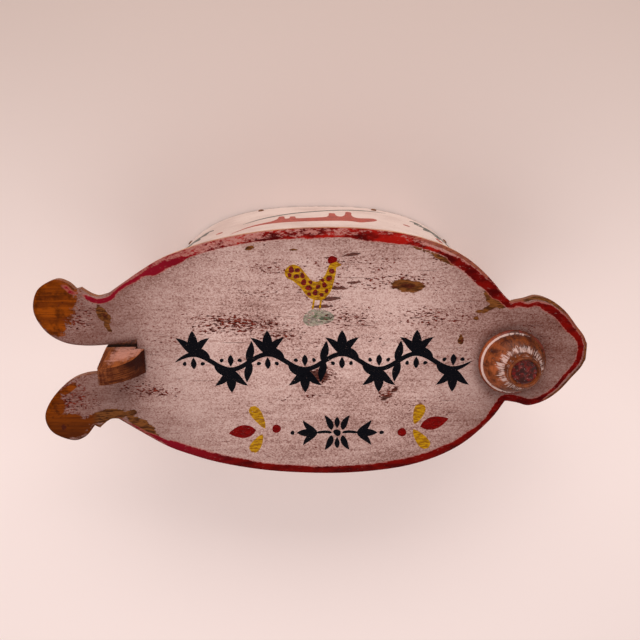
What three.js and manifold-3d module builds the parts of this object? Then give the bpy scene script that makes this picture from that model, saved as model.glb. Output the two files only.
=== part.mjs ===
import * as THREE from "three";
import { mergeVertices } from "three/addons/utils/BufferGeometryUtils.js";
import Module from "manifold-3d";

const wasm = await Module();
wasm.setup();

// All sizes are in millimetres. The box stands upright, with its lid on top.
// The fork of the lid points to -X, its lobe and the knob to +X.
// The origin is the centre of the oval, on the face that the box stands on.

// Clearance between pieces that touch in the real box
const FIT = 0.3;

// Bent side band: a closed oval with half sizes A and B, fuller than an ellipse
const BAND_A = 104;
const BAND_B = 70;
const BAND_FULLNESS = 2.6;
const BAND_THICKNESS = 3.6;
const BAND_TOP = 118.2;
const BAND_EDGE = 0.7;
const FEATHER_THICKNESS = 1.2;

// Where the two ends of the strip overlap, in degrees from +X
const LAP_START = -109;
const LAP_LENGTH = 38;
const LAP_FEATHER = 13;
const LAP_RUN_IN = 26;

// Bottom board and lid board
const BOARD_THICKNESS = 12;
const LID_UNDERSIDE = BAND_TOP + FIT;
const LID_THICKNESS = 6.5;
const LID_TOP = LID_UNDERSIDE + LID_THICKNESS;
const BEVEL_DROP = 1.5;
const BEVEL_WIDTH = 4;
const PRONG_BEVEL = 1.4;
const LID_SHIFT = 1.2;
const LOBE_SHIFT = 3.2;
const LID_OVERHANG = 4.6;
const LID_NECK = 5.8;
const LID_NECK_HALF = 30;
const NOTCH_SETBACK = 0.7;
const NOTCH_CLEAR_NEAR = 0.3;
const NOTCH_CLEAR_FAR = 5.1;

// Knob, its shank and the hole in the lid that lets the board tilt round it
const KNOB_REACH = 8;
const KNOB_Y = -2;
const SHANK_RADIUS = 4;
const SHANK_IN_POST = 43;
const LID_HOLE_RADIUS = 6.2;
const FLANGE_RADIUS = 19.3;
const FLANGE_GAP = 2.4;
const WASHER_RADIUS = 9;
const WASHER_THICKNESS = 1.2;

// Posts at the two ends, and the pin that crosses the pivot post and the shank
const LOCK_PIN_RADIUS = 1.5;
const LOCK_PIN_DEPTH = 25;
const POST_DEPTH = 17.4;
const POST_BOTTOM = 1.6;
const PIVOT_POST_TOP = LID_UNDERSIDE - 3.6;
const KNOB_X = BAND_A + KNOB_REACH;
const SHANK_BOTTOM = PIVOT_POST_TOP - SHANK_IN_POST;
const LOCK_PIN_HEIGHT = PIVOT_POST_TOP - LOCK_PIN_DEPTH;
const NOTCH_BASE = NOTCH_SETBACK - BAND_A;
const PIVOT_POST_HALF = 11;
const LATCH_HALF = 7;
const FOOT_HALF = 14;
const PEAK_HALF = 4.4;
const PEAK_HEIGHT = 28.8;
const HOOK_GAP = 0.6;
const HOOK_REACH = 5.6;

// Pegs and root stitches
const PEG_HEIGHT = 6.5;
const PEG_RADIUS = 1.9;
const PEG_HEAD = 1;
const PEG_DEPTH = 15;
const POST_PEG_RADIUS = 2.3;
const POST_PEG_UPPER = 44;
const POST_PEG_IN_BOARD = 13;
const POST_PEG_INSIDE = 2.5;
const STITCH_ROWS = 5;
const STITCH_WIDTH = 3;
const STITCH_THICKNESS = 1.2;
const STITCH_SPAN = 11;
const STITCH_ABOVE_FOOT = 22;
const STITCH_BELOW_RIM = 7;
const STITCH_COLUMNS = [-100, -81];

function paint(color, roughness) {
  return new THREE.MeshStandardMaterial({ color, roughness, metalness: 0 });
}
const lidPaint = paint(0xa98a82, 0.6);
const bandPaint = paint(0xeadcd6, 0.55);
const postWood = paint(0xa8703f, 0.5);
const boardWood = paint(0xb88a58, 0.7);
const knobWood = paint(0xa8572e, 0.45);
const pegWood = paint(0x8a5a34, 0.65);
const rootColour = paint(0x9c7346, 0.75);
const leather = paint(0x5c3a24, 0.8);

const root = new THREE.Group();
root.name = "tine_box";

function solidOf(geometry) {
  const bare = geometry.clone();
  bare.deleteAttribute("normal");
  bare.deleteAttribute("uv");
  const merged = mergeVertices(bare, 1e-4);
  return new wasm.Manifold(
    new wasm.Mesh({
      numProp: 3,
      vertProperties: new Float32Array(merged.attributes.position.array),
      triVerts: new Uint32Array(merged.index.array),
    }),
  );
}

function geometryOf(solid) {
  const mesh = solid.getMesh();
  const positions = new Float32Array(mesh.numVert * 3);
  for (let i = 0; i < mesh.numVert; i += 1) {
    for (let k = 0; k < 3; k += 1) {
      positions[i * 3 + k] = mesh.vertProperties[i * mesh.numProp + k];
    }
  }
  const geometry = new THREE.BufferGeometry();
  geometry.setAttribute("position", new THREE.BufferAttribute(positions, 3));
  geometry.setIndex(new THREE.BufferAttribute(new Uint32Array(mesh.triVerts), 1));
  const flat = geometry.toNonIndexed();
  flat.computeVertexNormals();
  return flat;
}

function addNode(name, solid, material) {
  const mesh = new THREE.Mesh(geometryOf(solid), material);
  mesh.name = name;
  root.add(mesh);
}

// Joins loops with equal point counts into one closed body, with a cap on the first and last
function loft(loops, flatten) {
  const count = loops[0].length;
  const positions = loops.flat().flatMap((p) => [p.x, p.y, p.z]);
  const index = [];
  for (let k = 0; k + 1 < loops.length; k += 1) {
    for (let i = 0; i < count; i += 1) {
      const j = (i + 1) % count;
      const low = k * count;
      const high = low + count;
      index.push(low + i, low + j, high + j);
      index.push(low + i, high + j, high + i);
    }
  }
  const last = (loops.length - 1) * count;
  for (const [a, b, c] of capOf(loops[0].map(flatten))) index.push(a, c, b);
  for (const [a, b, c] of capOf(loops[loops.length - 1].map(flatten))) {
    index.push(last + a, last + b, last + c);
  }
  const geometry = new THREE.BufferGeometry();
  geometry.setAttribute("position", new THREE.Float32BufferAttribute(positions, 3));
  geometry.setIndex(index);
  return facingOut(geometry);
}

// Triangles of a flat outline, wound the same way as the outline
function capOf(outline) {
  const clockwise = THREE.ShapeUtils.isClockWise(outline);
  return THREE.ShapeUtils.triangulateShape(outline, []).map(([a, b, c]) => {
    const same = THREE.ShapeUtils.isClockWise([outline[a], outline[b], outline[c]]) === clockwise;
    return same ? [a, b, c] : [a, c, b];
  });
}

function facingOut(geometry) {
  const solid = solidOf(geometry);
  return solid.volume() < 0 ? solidOf(flipped(geometry)) : solid;
}

function flipped(geometry) {
  const copy = geometry.clone();
  const index = Array.from(copy.index.array);
  for (let i = 0; i < index.length; i += 3) {
    [index[i + 1], index[i + 2]] = [index[i + 2], index[i + 1]];
  }
  copy.setIndex(index);
  return copy;
}

const topView = (p) => new THREE.Vector2(p.x, p.y);
const frontView = (p) => new THREE.Vector2(p.x, p.z);
const endView = (p) => new THREE.Vector2(p.y, p.z);
const smooth = (t) => THREE.MathUtils.smoothstep(t, 0, 1);

function plate(points, low, high) {
  const at = (z) => points.map((p) => new THREE.Vector3(p.x, p.y, z));
  return loft([at(low), at(high)], topView);
}

// A prism along Y from a side outline of [x, z] pairs
function sidePrism(pairs, y0, y1) {
  const at = (y) => pairs.map(([x, z]) => new THREE.Vector3(x, y, z));
  return loft([at(y0), at(y1)], frontView);
}

// A prism along X from an end outline of [y, z] pairs
function endPrism(pairs, x0, x1) {
  const at = (x) => pairs.map(([y, z]) => new THREE.Vector3(x, y, z));
  return loft([at(x0), at(x1)], endView);
}

function turned(profile, segments, centre, axis) {
  const points = profile.map(([r, h]) => new THREE.Vector2(r, h));
  const geometry = new THREE.LatheGeometry(points, segments);
  const turn = new THREE.Quaternion().setFromUnitVectors(new THREE.Vector3(0, 1, 0), axis);
  geometry.applyQuaternion(turn);
  geometry.translate(centre.x, centre.y, centre.z);
  return facingOut(withIndex(geometry));
}

function withIndex(geometry) {
  const bare = geometry.clone();
  bare.deleteAttribute("normal");
  bare.deleteAttribute("uv");
  return mergeVertices(bare, 1e-4);
}

function rod(centre, axis, radius, length, segments = 16) {
  const profile = [[0, 0], [radius, 0], [radius, length], [0, length]];
  return turned(profile, segments, centre, axis);
}

// A point of the oval at a polar angle in degrees, moved outwards along the oval's own normal
function ovalPoint(degrees, outwards) {
  const angle = THREE.MathUtils.degToRad(degrees);
  const n = BAND_FULLNESS;
  const c = Math.cos(angle);
  const s = Math.sin(angle);
  const radius = (Math.abs(c / BAND_A) ** n + Math.abs(s / BAND_B) ** n) ** (-1 / n);
  const x = radius * c;
  const y = radius * s;
  const nx = (Math.sign(x) * Math.abs(x) ** (n - 1)) / BAND_A ** n;
  const ny = (Math.sign(y) * Math.abs(y) ** (n - 1)) / BAND_B ** n;
  const length = Math.hypot(nx, ny);
  const normal = new THREE.Vector2(nx / length, ny / length);
  return { point: new THREE.Vector2(x, y).addScaledVector(normal, outwards), normal };
}

// How far the strip's two faces lie from the outer oval, from its outer end round to its inner end
const LAP_DEPTH = BAND_THICKNESS + FIT;
const STRIP_END = LAP_START + 360 + LAP_LENGTH;
function stripFaces(degrees) {
  const runIn = smooth((degrees - (LAP_START + 358 - LAP_RUN_IN)) / LAP_RUN_IN);
  const nominal = -LAP_DEPTH * runIn;
  const thin = BAND_THICKNESS - FEATHER_THICKNESS;
  const outerFeather = 1 - smooth((degrees - LAP_START) / LAP_FEATHER);
  const innerFeather = 1 - smooth((STRIP_END - degrees) / LAP_FEATHER);
  return {
    outer: nominal - thin * outerFeather,
    inner: nominal - BAND_THICKNESS + thin * innerFeather,
  };
}

// The innermost wood at an angle: the inner layer, where there are two
function innerFace(degrees) {
  const along = ((degrees - LAP_START) % 360 + 360) % 360;
  const inLap = along <= LAP_LENGTH + 2;
  const place = LAP_START + along + (inLap ? 360 : 0);
  return stripFaces(Math.min(place, STRIP_END)).inner;
}

// Side band: one strip bent round, its thinned ends laid over each other
const bandLoops = [];
const bandSteps = 150;
for (let i = 0; i <= bandSteps; i += 1) {
  const degrees = LAP_START + ((STRIP_END - LAP_START) * i) / bandSteps;
  const faces = stripFaces(degrees);
  const edge = Math.min(BAND_EDGE, (faces.outer - faces.inner) / 3);
  const corner = (offset, z) => {
    const { point } = ovalPoint(degrees, offset);
    return new THREE.Vector3(point.x, point.y, z);
  };
  bandLoops.push([
    corner(faces.outer - edge, 0),
    corner(faces.outer, edge),
    corner(faces.outer, BAND_TOP - edge),
    corner(faces.outer - edge, BAND_TOP),
    corner(faces.inner + edge, BAND_TOP),
    corner(faces.inner, BAND_TOP - edge),
    corner(faces.inner, edge),
    corner(faces.inner + edge, 0),
  ]);
}

// The caps are at the strip's ends, where a section lies across the band
function bandBody() {
  const across = bandLoops[0].map((p) => new THREE.Vector2(
    Math.hypot(p.x - bandLoops[0][0].x, p.y - bandLoops[0][0].y), p.z));
  const section = [4, 5, 6, 7, 0, 1, 2, 3];
  const count = section.length;
  const index = [];
  for (let k = 0; k + 1 < bandLoops.length; k += 1) {
    for (let i = 0; i < count; i += 1) {
      const j = (i + 1) % count;
      const a = k * count;
      const b = a + count;
      index.push(a + i, a + j, b + j, a + i, b + j, b + i);
    }
  }
  const last = (bandLoops.length - 1) * count;
  for (let i = 1; i + 1 < across.length; i += 1) {
    index.push(0, i + 1, i);
    index.push(last, last + i, last + i + 1);
  }
  const geometry = new THREE.BufferGeometry();
  const positions = bandLoops.flat().flatMap((p) => [p.x, p.y, p.z]);
  geometry.setAttribute("position", new THREE.Float32BufferAttribute(positions, 3));
  geometry.setIndex(index);
  return facingOut(geometry);
}

// A cutter that leaves a post's inner side following the band
function bandEnvelope(gap) {
  const points = [];
  for (let degrees = 0; degrees < 360; degrees += 3) points.push(ovalPoint(degrees, gap).point);
  return plate(points, -10, BAND_TOP + 0.1);
}

// Lid outline. The oval's side is given in shares of its half length and half width,
// the lobe from the neck outwards, and each prong from the notch's base outwards.
const ovalSide = [
  [-0.966, 0.52], [-0.847, 0.73], [-0.701, 0.826], [-0.51, 0.912], [-0.237, 0.979], [0.1, 1],
  [0.392, 0.964], [0.601, 0.885], [0.765, 0.764], [0.893, 0.597],
];
const lobeSide = [[0, 0], [7.2, 1.4], [14.2, 3.1], [23.2, 0.2], [31.2, -5.9], [38.2, -14.6]];
const tipSide = [[38.2, -14.6], [42.8, -20.4], [45.1, -25.8]];
const upperProng = [
  [[0, 0], [15.7, -3], [30.7, -3.6], [42.7, -1.3], [52.2, 5.6], [57.4, 17.1], [54.1, 29.1],
    [44.2, 35.1], [37.2, 33.5], [32.7, 29.5]],
  [[32.7, 29.5], [30.9, 30], [29.8, 30.2]],
  [[29.8, 30.2], [25.1, 26.9], [20.1, 25.3], [14.2, 27.3]],
];
const lowerProng = [
  [[0, 0], [16.7, 0.8], [31.7, 2], [42.7, 7.2], [52.7, 17.6], [57.5, 28.6], [53.9, 38.4],
    [42.7, 43.4], [34.7, 41], [28.6, 33.9]],
  [[28.6, 33.9], [27, 34.8], [25.6, 35.4]],
  [[25.6, 35.4], [22.3, 32.3], [18.3, 29.8], [14.2, 29.8]],
];

function run(pairs, pieces) {
  const curve = new THREE.SplineCurve(pairs.map(([x, y]) => new THREE.Vector2(x, y)));
  return curve.getPoints(pieces);
}

function lidSide(prong, notchEdge, mirror) {
  const halfLength = BAND_A + LID_NECK;
  const halfWidth = BAND_B + LID_OVERHANG;
  const onProng = ([out, up]) => [NOTCH_BASE - out, notchEdge + up];
  const onOval = ([u, v]) => [u * halfLength, v * halfWidth];
  const onLobe = ([out, up]) => [halfLength + out, LID_NECK_HALF + up];
  const prongEnd = onProng(prong[2][prong[2].length - 1]);
  const runs = [
    run(prong[0].map(onProng), 34),
    run(prong[1].map(onProng), 2),
    run(prong[2].map(onProng), 6),
    run([prongEnd, ...ovalSide.slice(1).map(onOval), onLobe([0, 0])], 38),
    run(lobeSide.map(onLobe), 18),
    run(tipSide.map(onLobe), 5),
  ];
  const points = runs.flatMap((r, k) => (k === 0 ? r : r.slice(1)));
  return points.map((p) => {
    const pastNeck = THREE.MathUtils.smoothstep(p.x, halfLength - 6, halfLength + 2);
    const shift = LID_SHIFT + (LOBE_SHIFT - LID_SHIFT) * pastNeck;
    return new THREE.Vector2(p.x, mirror * p.y + shift);
  });
}

// The notch leaves the latch post a small gap on one side and a wide one on the other
const nearEdge = LATCH_HALF + NOTCH_CLEAR_NEAR + LID_SHIFT;
const farEdge = LATCH_HALF + NOTCH_CLEAR_FAR - LID_SHIFT;
const lidOutline = [
  ...lidSide(lowerProng, nearEdge, -1),
  ...lidSide(upperProng, farEdge, 1).reverse(),
];

// Moves each outline point inwards along its bisector; the bevel is narrow on the thin prongs
function inset(points, widthAt) {
  const count = points.length;
  return points.map((p, i) => {
    const before = points[(i + count - 1) % count];
    const after = points[(i + 1) % count];
    const a = p.clone().sub(before).normalize();
    const b = after.clone().sub(p).normalize();
    const inward = new THREE.Vector2(-a.y - b.y, a.x + b.x);
    const length = Math.max(inward.length(), 0.8);
    const reach = Math.min(2 / length, 1.5);
    return p.clone().addScaledVector(inward.normalize(), widthAt(p) * reach);
  });
}

function lidBody() {
  const wide = (p) => {
    const onOval = THREE.MathUtils.smoothstep(p.x, NOTCH_BASE - 17, NOTCH_BASE - 1);
    return PRONG_BEVEL + (BEVEL_WIDTH - PRONG_BEVEL) * onOval;
  };
  const at = (points, z) => points.map((p) => new THREE.Vector3(p.x, p.y, z));
  const lower = inset(lidOutline, () => 0.7);
  const drop = (p) => (BEVEL_DROP * wide(p)) / BEVEL_WIDTH;
  const shoulder = lidOutline.map((p) => new THREE.Vector3(p.x, p.y, LID_TOP - drop(p)));
  return loft([
    at(lower, LID_UNDERSIDE),
    at(lidOutline, LID_UNDERSIDE + 0.7),
    shoulder,
    at(inset(lidOutline, wide), LID_TOP),
  ], topView);
}

// Latch post: two side outlines, the far one with a rounded ramp and the near one cut straight
const inner = -(BAND_A + FIT);
const outer = inner - POST_DEPTH;
const peak = LID_TOP + PEAK_HEIGHT;
const nose = LID_TOP + 4.6;
const ridge = outer + 4.1;
const headOuter = [[outer, LID_TOP - 4], [ridge - 1.3, peak - 1.6]];
const headRamp = [[ridge, peak], [ridge + 4.8, peak - 1.2], [ridge + 9.6, peak - 3.8],
  [ridge + 13.2, peak - 8], [ridge + 15.8, peak - 13], [ridge + 17.2, peak - 19],
  [ridge + 17.8, nose]];
const hookTip = inner + HOOK_REACH;
const headNose = [[hookTip, nose - 2.2], [hookTip - 0.2, LID_TOP + HOOK_GAP + 0.4],
  [hookTip - 1.7, LID_TOP + HOOK_GAP], [inner, LID_TOP + HOOK_GAP]];
const stemTop = BAND_TOP - 17;

function latchPost() {
  const ramp = run(headRamp, 14).map((p) => [p.x, p.y]);
  const [from, to] = [headRamp[0], headRamp[headRamp.length - 1]];
  const straight = ramp.map((_, i) => {
    const t = i / (ramp.length - 1);
    const bulge = 2.2 * Math.sin(Math.PI * t);
    return [from[0] + (to[0] - from[0]) * t + bulge, from[1] + (to[1] - from[1]) * t + bulge];
  });
  const foot = [[inner, stemTop - 1], [outer, stemTop - 1]];
  const profile = (top) => [...foot, ...headOuter, ...top, ...headNose];
  const at = (pairs, y) => pairs.map(([x, z]) => new THREE.Vector3(x, y, z));
  const head = loft([
    at(profile(ramp), LATCH_HALF),
    at(profile(straight), -LATCH_HALF),
  ], frontView);
  const headFront = endPrism([
    [-LATCH_HALF, stemTop - 2], [LATCH_HALF, stemTop - 2], [LATCH_HALF, LID_TOP + 2],
    [PEAK_HALF + 0.6, peak - 1.4], [PEAK_HALF - 0.8, peak + 1],
    [-PEAK_HALF + 0.8, peak + 1], [-PEAK_HALF - 0.6, peak - 1.4], [-LATCH_HALF, LID_TOP + 2],
  ], outer - 5, hookTip + 5);
  const stem = sidePrism([
    [inner + 2, POST_BOTTOM], [outer + 4, POST_BOTTOM], [outer + 1, POST_BOTTOM + 5],
    [outer, 60], [outer, stemTop], [inner, stemTop], [inner, stemTop - 3], [inner + 2, stemTop - 7],
  ], -FOOT_HALF, FOOT_HALF);
  const stemFront = endPrism(footOutline(LATCH_HALF, stemTop + 1), outer - 5, hookTip + 5);
  return head.intersect(headFront).add(stem.intersect(stemFront));
}

// The front of a post: a wide rounded foot that narrows in a curve to the stem
function footOutline(half, top) {
  const side = run([[FOOT_HALF - 2.2, POST_BOTTOM - 0.5], [FOOT_HALF, 8], [FOOT_HALF - 0.4, 28],
    [half + 2.4, 54], [half, 78]], 16).map((p) => [p.x, p.y]);
  const right = [...side, [half, top]];
  return [...right, ...right.map(([y, z]) => [-y, z]).reverse()];
}

function pivotPost() {
  const inside = BAND_A + FIT;
  const outside = inside + POST_DEPTH;
  const stem = sidePrism([
    [inside - 2, POST_BOTTOM], [outside - 4, POST_BOTTOM], [outside - 1, POST_BOTTOM + 5],
    [outside, 60], [outside, PIVOT_POST_TOP - 3], [outside - 2.5, PIVOT_POST_TOP],
    [inside, PIVOT_POST_TOP], [inside - 2, PIVOT_POST_TOP - 4],
  ].reverse(), -FOOT_HALF - 1, FOOT_HALF + 1);
  const front = endPrism(footOutline(PIVOT_POST_HALF, stemTop), inside - 5, outside + 5);
  const crown = endPrism([
    [-PIVOT_POST_HALF, stemTop - 9], [PIVOT_POST_HALF, stemTop - 9],
    [PIVOT_POST_HALF, PIVOT_POST_TOP - 2.5],
    [PIVOT_POST_HALF - 2.5, PIVOT_POST_TOP + 1], [-PIVOT_POST_HALF + 2.5, PIVOT_POST_TOP + 1],
    [-PIVOT_POST_HALF, PIVOT_POST_TOP - 2.5],
  ], inside - 5, outside + 5);
  const bore = rod(new THREE.Vector3(KNOB_X, 0, SHANK_BOTTOM - 2), up, SHANK_RADIUS + FIT, BAND_TOP, 24);
  return stem.intersect(front.add(crown)).subtract(bore);
}

const up = new THREE.Vector3(0, 0, 1);
const along = new THREE.Vector3(1, 0, 0);
const sideways = new THREE.Vector3(0, 1, 0);

// Knob: flange, dome, short neck and dished top in one turned piece with its shank
const knobZ = (h) => LID_TOP + h;
function knobBody() {
  const f = FLANGE_GAP;
  const dome = run([[16.8, f + 3.4], [16.3, f + 6.4], [14.2, f + 9.8], [11.4, f + 12], [9.4, f + 13.2]], 6);
  const profile = [
    [0, SHANK_BOTTOM], [SHANK_RADIUS - 0.6, SHANK_BOTTOM], [SHANK_RADIUS, SHANK_BOTTOM + 0.8],
    [SHANK_RADIUS, knobZ(f)], [FLANGE_RADIUS - 1, knobZ(f)], [FLANGE_RADIUS, knobZ(f + 0.9)],
    [FLANGE_RADIUS, knobZ(f + 1.9)], [FLANGE_RADIUS - 0.9, knobZ(f + 2.9)],
    ...dome.map((p) => [p.x, knobZ(p.y)]),
    [9, knobZ(f + 15)], [9.1, knobZ(f + 18.2)], [8.6, knobZ(f + 19.2)], [7.9, knobZ(f + 19.2)],
    [7.3, knobZ(f + 18.4)], [7, knobZ(f + 17)], [0, knobZ(f + 16.6)],
  ];
  const body = turned(profile, 48, new THREE.Vector3(KNOB_X, KNOB_Y, 0), up);
  const start = new THREE.Vector3(KNOB_X, KNOB_Y - FLANGE_RADIUS, LOCK_PIN_HEIGHT);
  return body.subtract(rod(start, sideways, LOCK_PIN_RADIUS + FIT, 2 * FLANGE_RADIUS, 12));
}

// A peg with a low domed head, driven inwards from a start point
function peg(start, inwards, radius, length) {
  const profile = [[0, 0], [radius * 0.7, 0.15], [radius, 0.7], [radius, length - 1.4],
    [radius * 0.75, length], [0, length]];
  return turned(profile, 12, start, inwards);
}

function radialPeg(degrees, height, startOut, radius, length, grow) {
  const { point, normal } = ovalPoint(degrees, startOut);
  const inwards = new THREE.Vector3(-normal.x, -normal.y, 0);
  const start = new THREE.Vector3(point.x, point.y, height);
  return grow ? rod(start, inwards, radius + grow, length + grow, 12) : peg(start, inwards, radius, length);
}

let band = bandBody();
let board = plate(
  Array.from({ length: 120 }, (_, i) => ovalPoint(i * 3, innerFace(i * 3) - FIT).point),
  0,
  BOARD_THICKNESS,
);
let lid = lidBody();
const envelope = bandEnvelope(FIT);
let latch = latchPost().subtract(envelope);
let pivot = pivotPost().translate(0, KNOB_Y, 0).subtract(envelope);
const knob = knobBody();

// Hole in the lid for the shank
const shankPlace = new THREE.Vector3(KNOB_X, KNOB_Y, LID_UNDERSIDE - 5);
lid = lid.subtract(rod(shankPlace, up, LID_HOLE_RADIUS, 20, 32));

// Eight pegs hold the bottom board, clear of the posts and of the lap
[27, 60, 120, 153, 205, 234, 306, 333].forEach((degrees, i) => {
  band = band.subtract(radialPeg(degrees, PEG_HEIGHT, PEG_HEAD, PEG_RADIUS, PEG_DEPTH, FIT));
  board = board.subtract(radialPeg(degrees, PEG_HEIGHT, PEG_HEAD, PEG_RADIUS, PEG_DEPTH, FIT));
  addNode(`bottom_peg_${i + 1}`, radialPeg(degrees, PEG_HEIGHT, PEG_HEAD, PEG_RADIUS, PEG_DEPTH), pegWood);
});

// Two pegs through each post: the lower goes into the bottom board, the upper ends inside the band
const postFace = BAND_A + FIT + POST_DEPTH;
for (const [post, side, y] of [["latch", -1, 0], ["pivot", 1, KNOB_Y]]) {
  [PEG_HEIGHT, POST_PEG_UPPER].forEach((height, i) => {
    const start = new THREE.Vector3(side * (postFace + PEG_HEAD), y, height);
    const inwards = new THREE.Vector3(-side, 0, 0);
    const past = i === 0 ? POST_PEG_IN_BOARD : POST_PEG_INSIDE;
    const length = PEG_HEAD + POST_DEPTH + BAND_THICKNESS + past;
    const hole = rod(start, inwards, POST_PEG_RADIUS + FIT, length + FIT, 16);
    band = band.subtract(hole);
    board = board.subtract(hole);
    if (side < 0) latch = latch.subtract(hole);
    else pivot = pivot.subtract(hole);
    addNode(`${post}_peg_${i + 1}`, peg(start, inwards, POST_PEG_RADIUS, length), pegWood);
  });
}

// A pin through the pivot post and the shank keeps the knob from pulling out
const pinLength = 2 * PIVOT_POST_HALF + 2;
const pinStart = new THREE.Vector3(KNOB_X, KNOB_Y - pinLength / 2, LOCK_PIN_HEIGHT);
const pinHole = new THREE.Vector3(KNOB_X, KNOB_Y - pinLength, LOCK_PIN_HEIGHT);
pivot = pivot.subtract(rod(pinHole, sideways, LOCK_PIN_RADIUS + FIT, 2 * pinLength, 12));
addNode("knob_lock_pin", peg(pinStart, sideways, LOCK_PIN_RADIUS, pinLength), pegWood);

// Root stitches: flat loops through slots in both layers of the lap
let stitch = 0;
for (const degrees of STITCH_COLUMNS) {
  const outside = stripFaces(degrees).outer + FIT;
  const inside = innerFace(degrees) - FIT;
  const { point, normal } = ovalPoint(degrees, 0);
  const across = new THREE.Vector3(-normal.y, normal.x, 0);
  const frame = new THREE.Matrix4().makeBasis(
    new THREE.Vector3(normal.x, normal.y, 0), across, up);
  const t = STITCH_THICKNESS;
  const place = (x, y, z) => new THREE.Vector3(x, y, z).applyMatrix4(frame)
    .add(new THREE.Vector3(point.x, point.y, 0));
  const loop = (low, high, from, to, round) => {
    const r = round;
    const corners = [
      [to - r, low + r, -90],
      [to - r, high - r, 0],
      [from + r, high - r, 90],
      [from + r, low + r, 180],
    ];
    return corners.flatMap(([x, z, first]) => [0, 30, 60, 90].map((turn) => {
      const a = THREE.MathUtils.degToRad(first + turn);
      return [x + r * Math.cos(a), z + r * Math.sin(a)];
    }));
  };
  const prism = (pairs, half) => loft([
    pairs.map(([x, z]) => place(x, -half, z)),
    pairs.map(([x, z]) => place(x, half, z)),
  ], (p) => {
    const q = p.clone().sub(new THREE.Vector3(point.x, point.y, 0));
    return new THREE.Vector2(q.x * normal.x + q.y * normal.y, q.z);
  });
  const highest = BAND_TOP - STITCH_BELOW_RIM - STITCH_SPAN;
  const pitch = (highest - STITCH_ABOVE_FOOT) / (STITCH_ROWS - 1);
  for (let row = 0; row < STITCH_ROWS; row += 1) {
    const low = STITCH_ABOVE_FOOT + row * pitch;
    const high = low + STITCH_SPAN;
    const solid = prism(loop(low - t, high + t, inside - t, outside + t, 1.1), STITCH_WIDTH / 2)
      .subtract(prism(loop(low, high, inside, outside, 0.5), STITCH_WIDTH / 2 + 1));
    for (const z of [low - t / 2, high + t / 2]) {
      const h = t / 2 + FIT;
      const slot = [[inside - 3, z - h], [outside + 3, z - h], [outside + 3, z + h], [inside - 3, z + h]];
      band = band.subtract(prism(slot, STITCH_WIDTH / 2 + FIT));
    }
    stitch += 1;
    addNode(`lap_stitch_${stitch}`, solid, rootColour);
  }
}

const washerZ = LID_TOP + FIT;
const washer = turned([
  [LID_HOLE_RADIUS, washerZ], [WASHER_RADIUS, washerZ],
  [WASHER_RADIUS, washerZ + WASHER_THICKNESS], [LID_HOLE_RADIUS, washerZ + WASHER_THICKNESS],
  [LID_HOLE_RADIUS, washerZ],
], 32, new THREE.Vector3(KNOB_X, KNOB_Y, 0), up);

addNode("side_band", band, bandPaint);
addNode("bottom_board", board, boardWood);
addNode("lid_board", lid, lidPaint);
addNode("latch_post", latch, postWood);
addNode("pivot_post", pivot, postWood);
addNode("knob", knob, knobWood);
addNode("tilt_washer", washer, leather);

export default root;
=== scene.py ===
import math
import random

import bmesh
import bpy
import numpy as np
from mathutils import Matrix, Vector, noise
from mathutils.bvhtree import BVHTree
from mathutils.geometry import delaunay_2d_cdt


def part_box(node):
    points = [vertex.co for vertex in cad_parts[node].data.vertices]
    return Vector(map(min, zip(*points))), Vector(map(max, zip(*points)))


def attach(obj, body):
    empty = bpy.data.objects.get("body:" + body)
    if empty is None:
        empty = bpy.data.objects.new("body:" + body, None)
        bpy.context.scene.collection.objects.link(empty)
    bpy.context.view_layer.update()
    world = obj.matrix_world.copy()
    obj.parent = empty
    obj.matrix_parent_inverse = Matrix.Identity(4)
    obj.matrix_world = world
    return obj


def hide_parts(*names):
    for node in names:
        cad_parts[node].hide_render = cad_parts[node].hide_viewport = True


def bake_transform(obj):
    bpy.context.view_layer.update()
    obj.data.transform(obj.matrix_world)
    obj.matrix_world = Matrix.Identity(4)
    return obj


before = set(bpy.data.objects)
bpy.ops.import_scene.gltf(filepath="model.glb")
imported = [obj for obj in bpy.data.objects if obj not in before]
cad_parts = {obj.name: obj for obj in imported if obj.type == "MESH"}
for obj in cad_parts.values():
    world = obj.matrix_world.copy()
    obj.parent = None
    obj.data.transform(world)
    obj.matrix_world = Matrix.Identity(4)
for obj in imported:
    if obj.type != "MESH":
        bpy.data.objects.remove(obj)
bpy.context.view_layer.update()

# Shapes are written in millimetres and made in metres
MM = 0.001

# The band's outside, as in the solid: an oval between an ellipse and a rounded rectangle
BAND_A = 104
BAND_B = 70
BAND_FULLNESS = 2.6
BAND_TOP = 118.2

# The lid's board: its bevel dies out towards the two prongs
LID_UNDERSIDE = 118.5
LID_TOP = 125
LID_LOWER_EDGE = 0.7
LID_HOLE_RADIUS = 6.2
LID_UNEVEN = 0.1
BEVEL_WIDTH = 4.2
BEVEL_DROP = 1.5
PRONG_BEVEL_WIDTH = 2.2
PRONG_BEVEL_DROP = 1.1
PRONG_ROOT = -96
PRONG_BODY = -118

# Spacing of the points in the lid's top, on rings beside its edge and in rows between them
RING_DEPTHS = (0.5, 1.1, 1.8, 2.6, 3.5, 4.5)
RING_SPACING = 0.9
ROWS_FROM_EDGE = 5.2
ROW_SPACING = 1.35
ROW_SHIFT = 0.2

# The knob's axis, its gap over the lid, and how its head leans between two heights above the lid
KNOB_X = 112
KNOB_Y = -2
KNOB_GAP = 2.4
KNOB_SIDES = 128
KNOB_SHIFT_X = -0.8
KNOB_SHIFT_Y = 0.8
KNOB_LEAN = 3.0
KNOB_LEAN_FROM = 5.4
KNOB_LEAN_TO = 16.4

# Painted figures on the band are a coat of paint this far out of the wall and into it
COAT_ABOVE = 0.1
COAT_BELOW = 0.3
COAT_SPACING = (3, 6)


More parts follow.
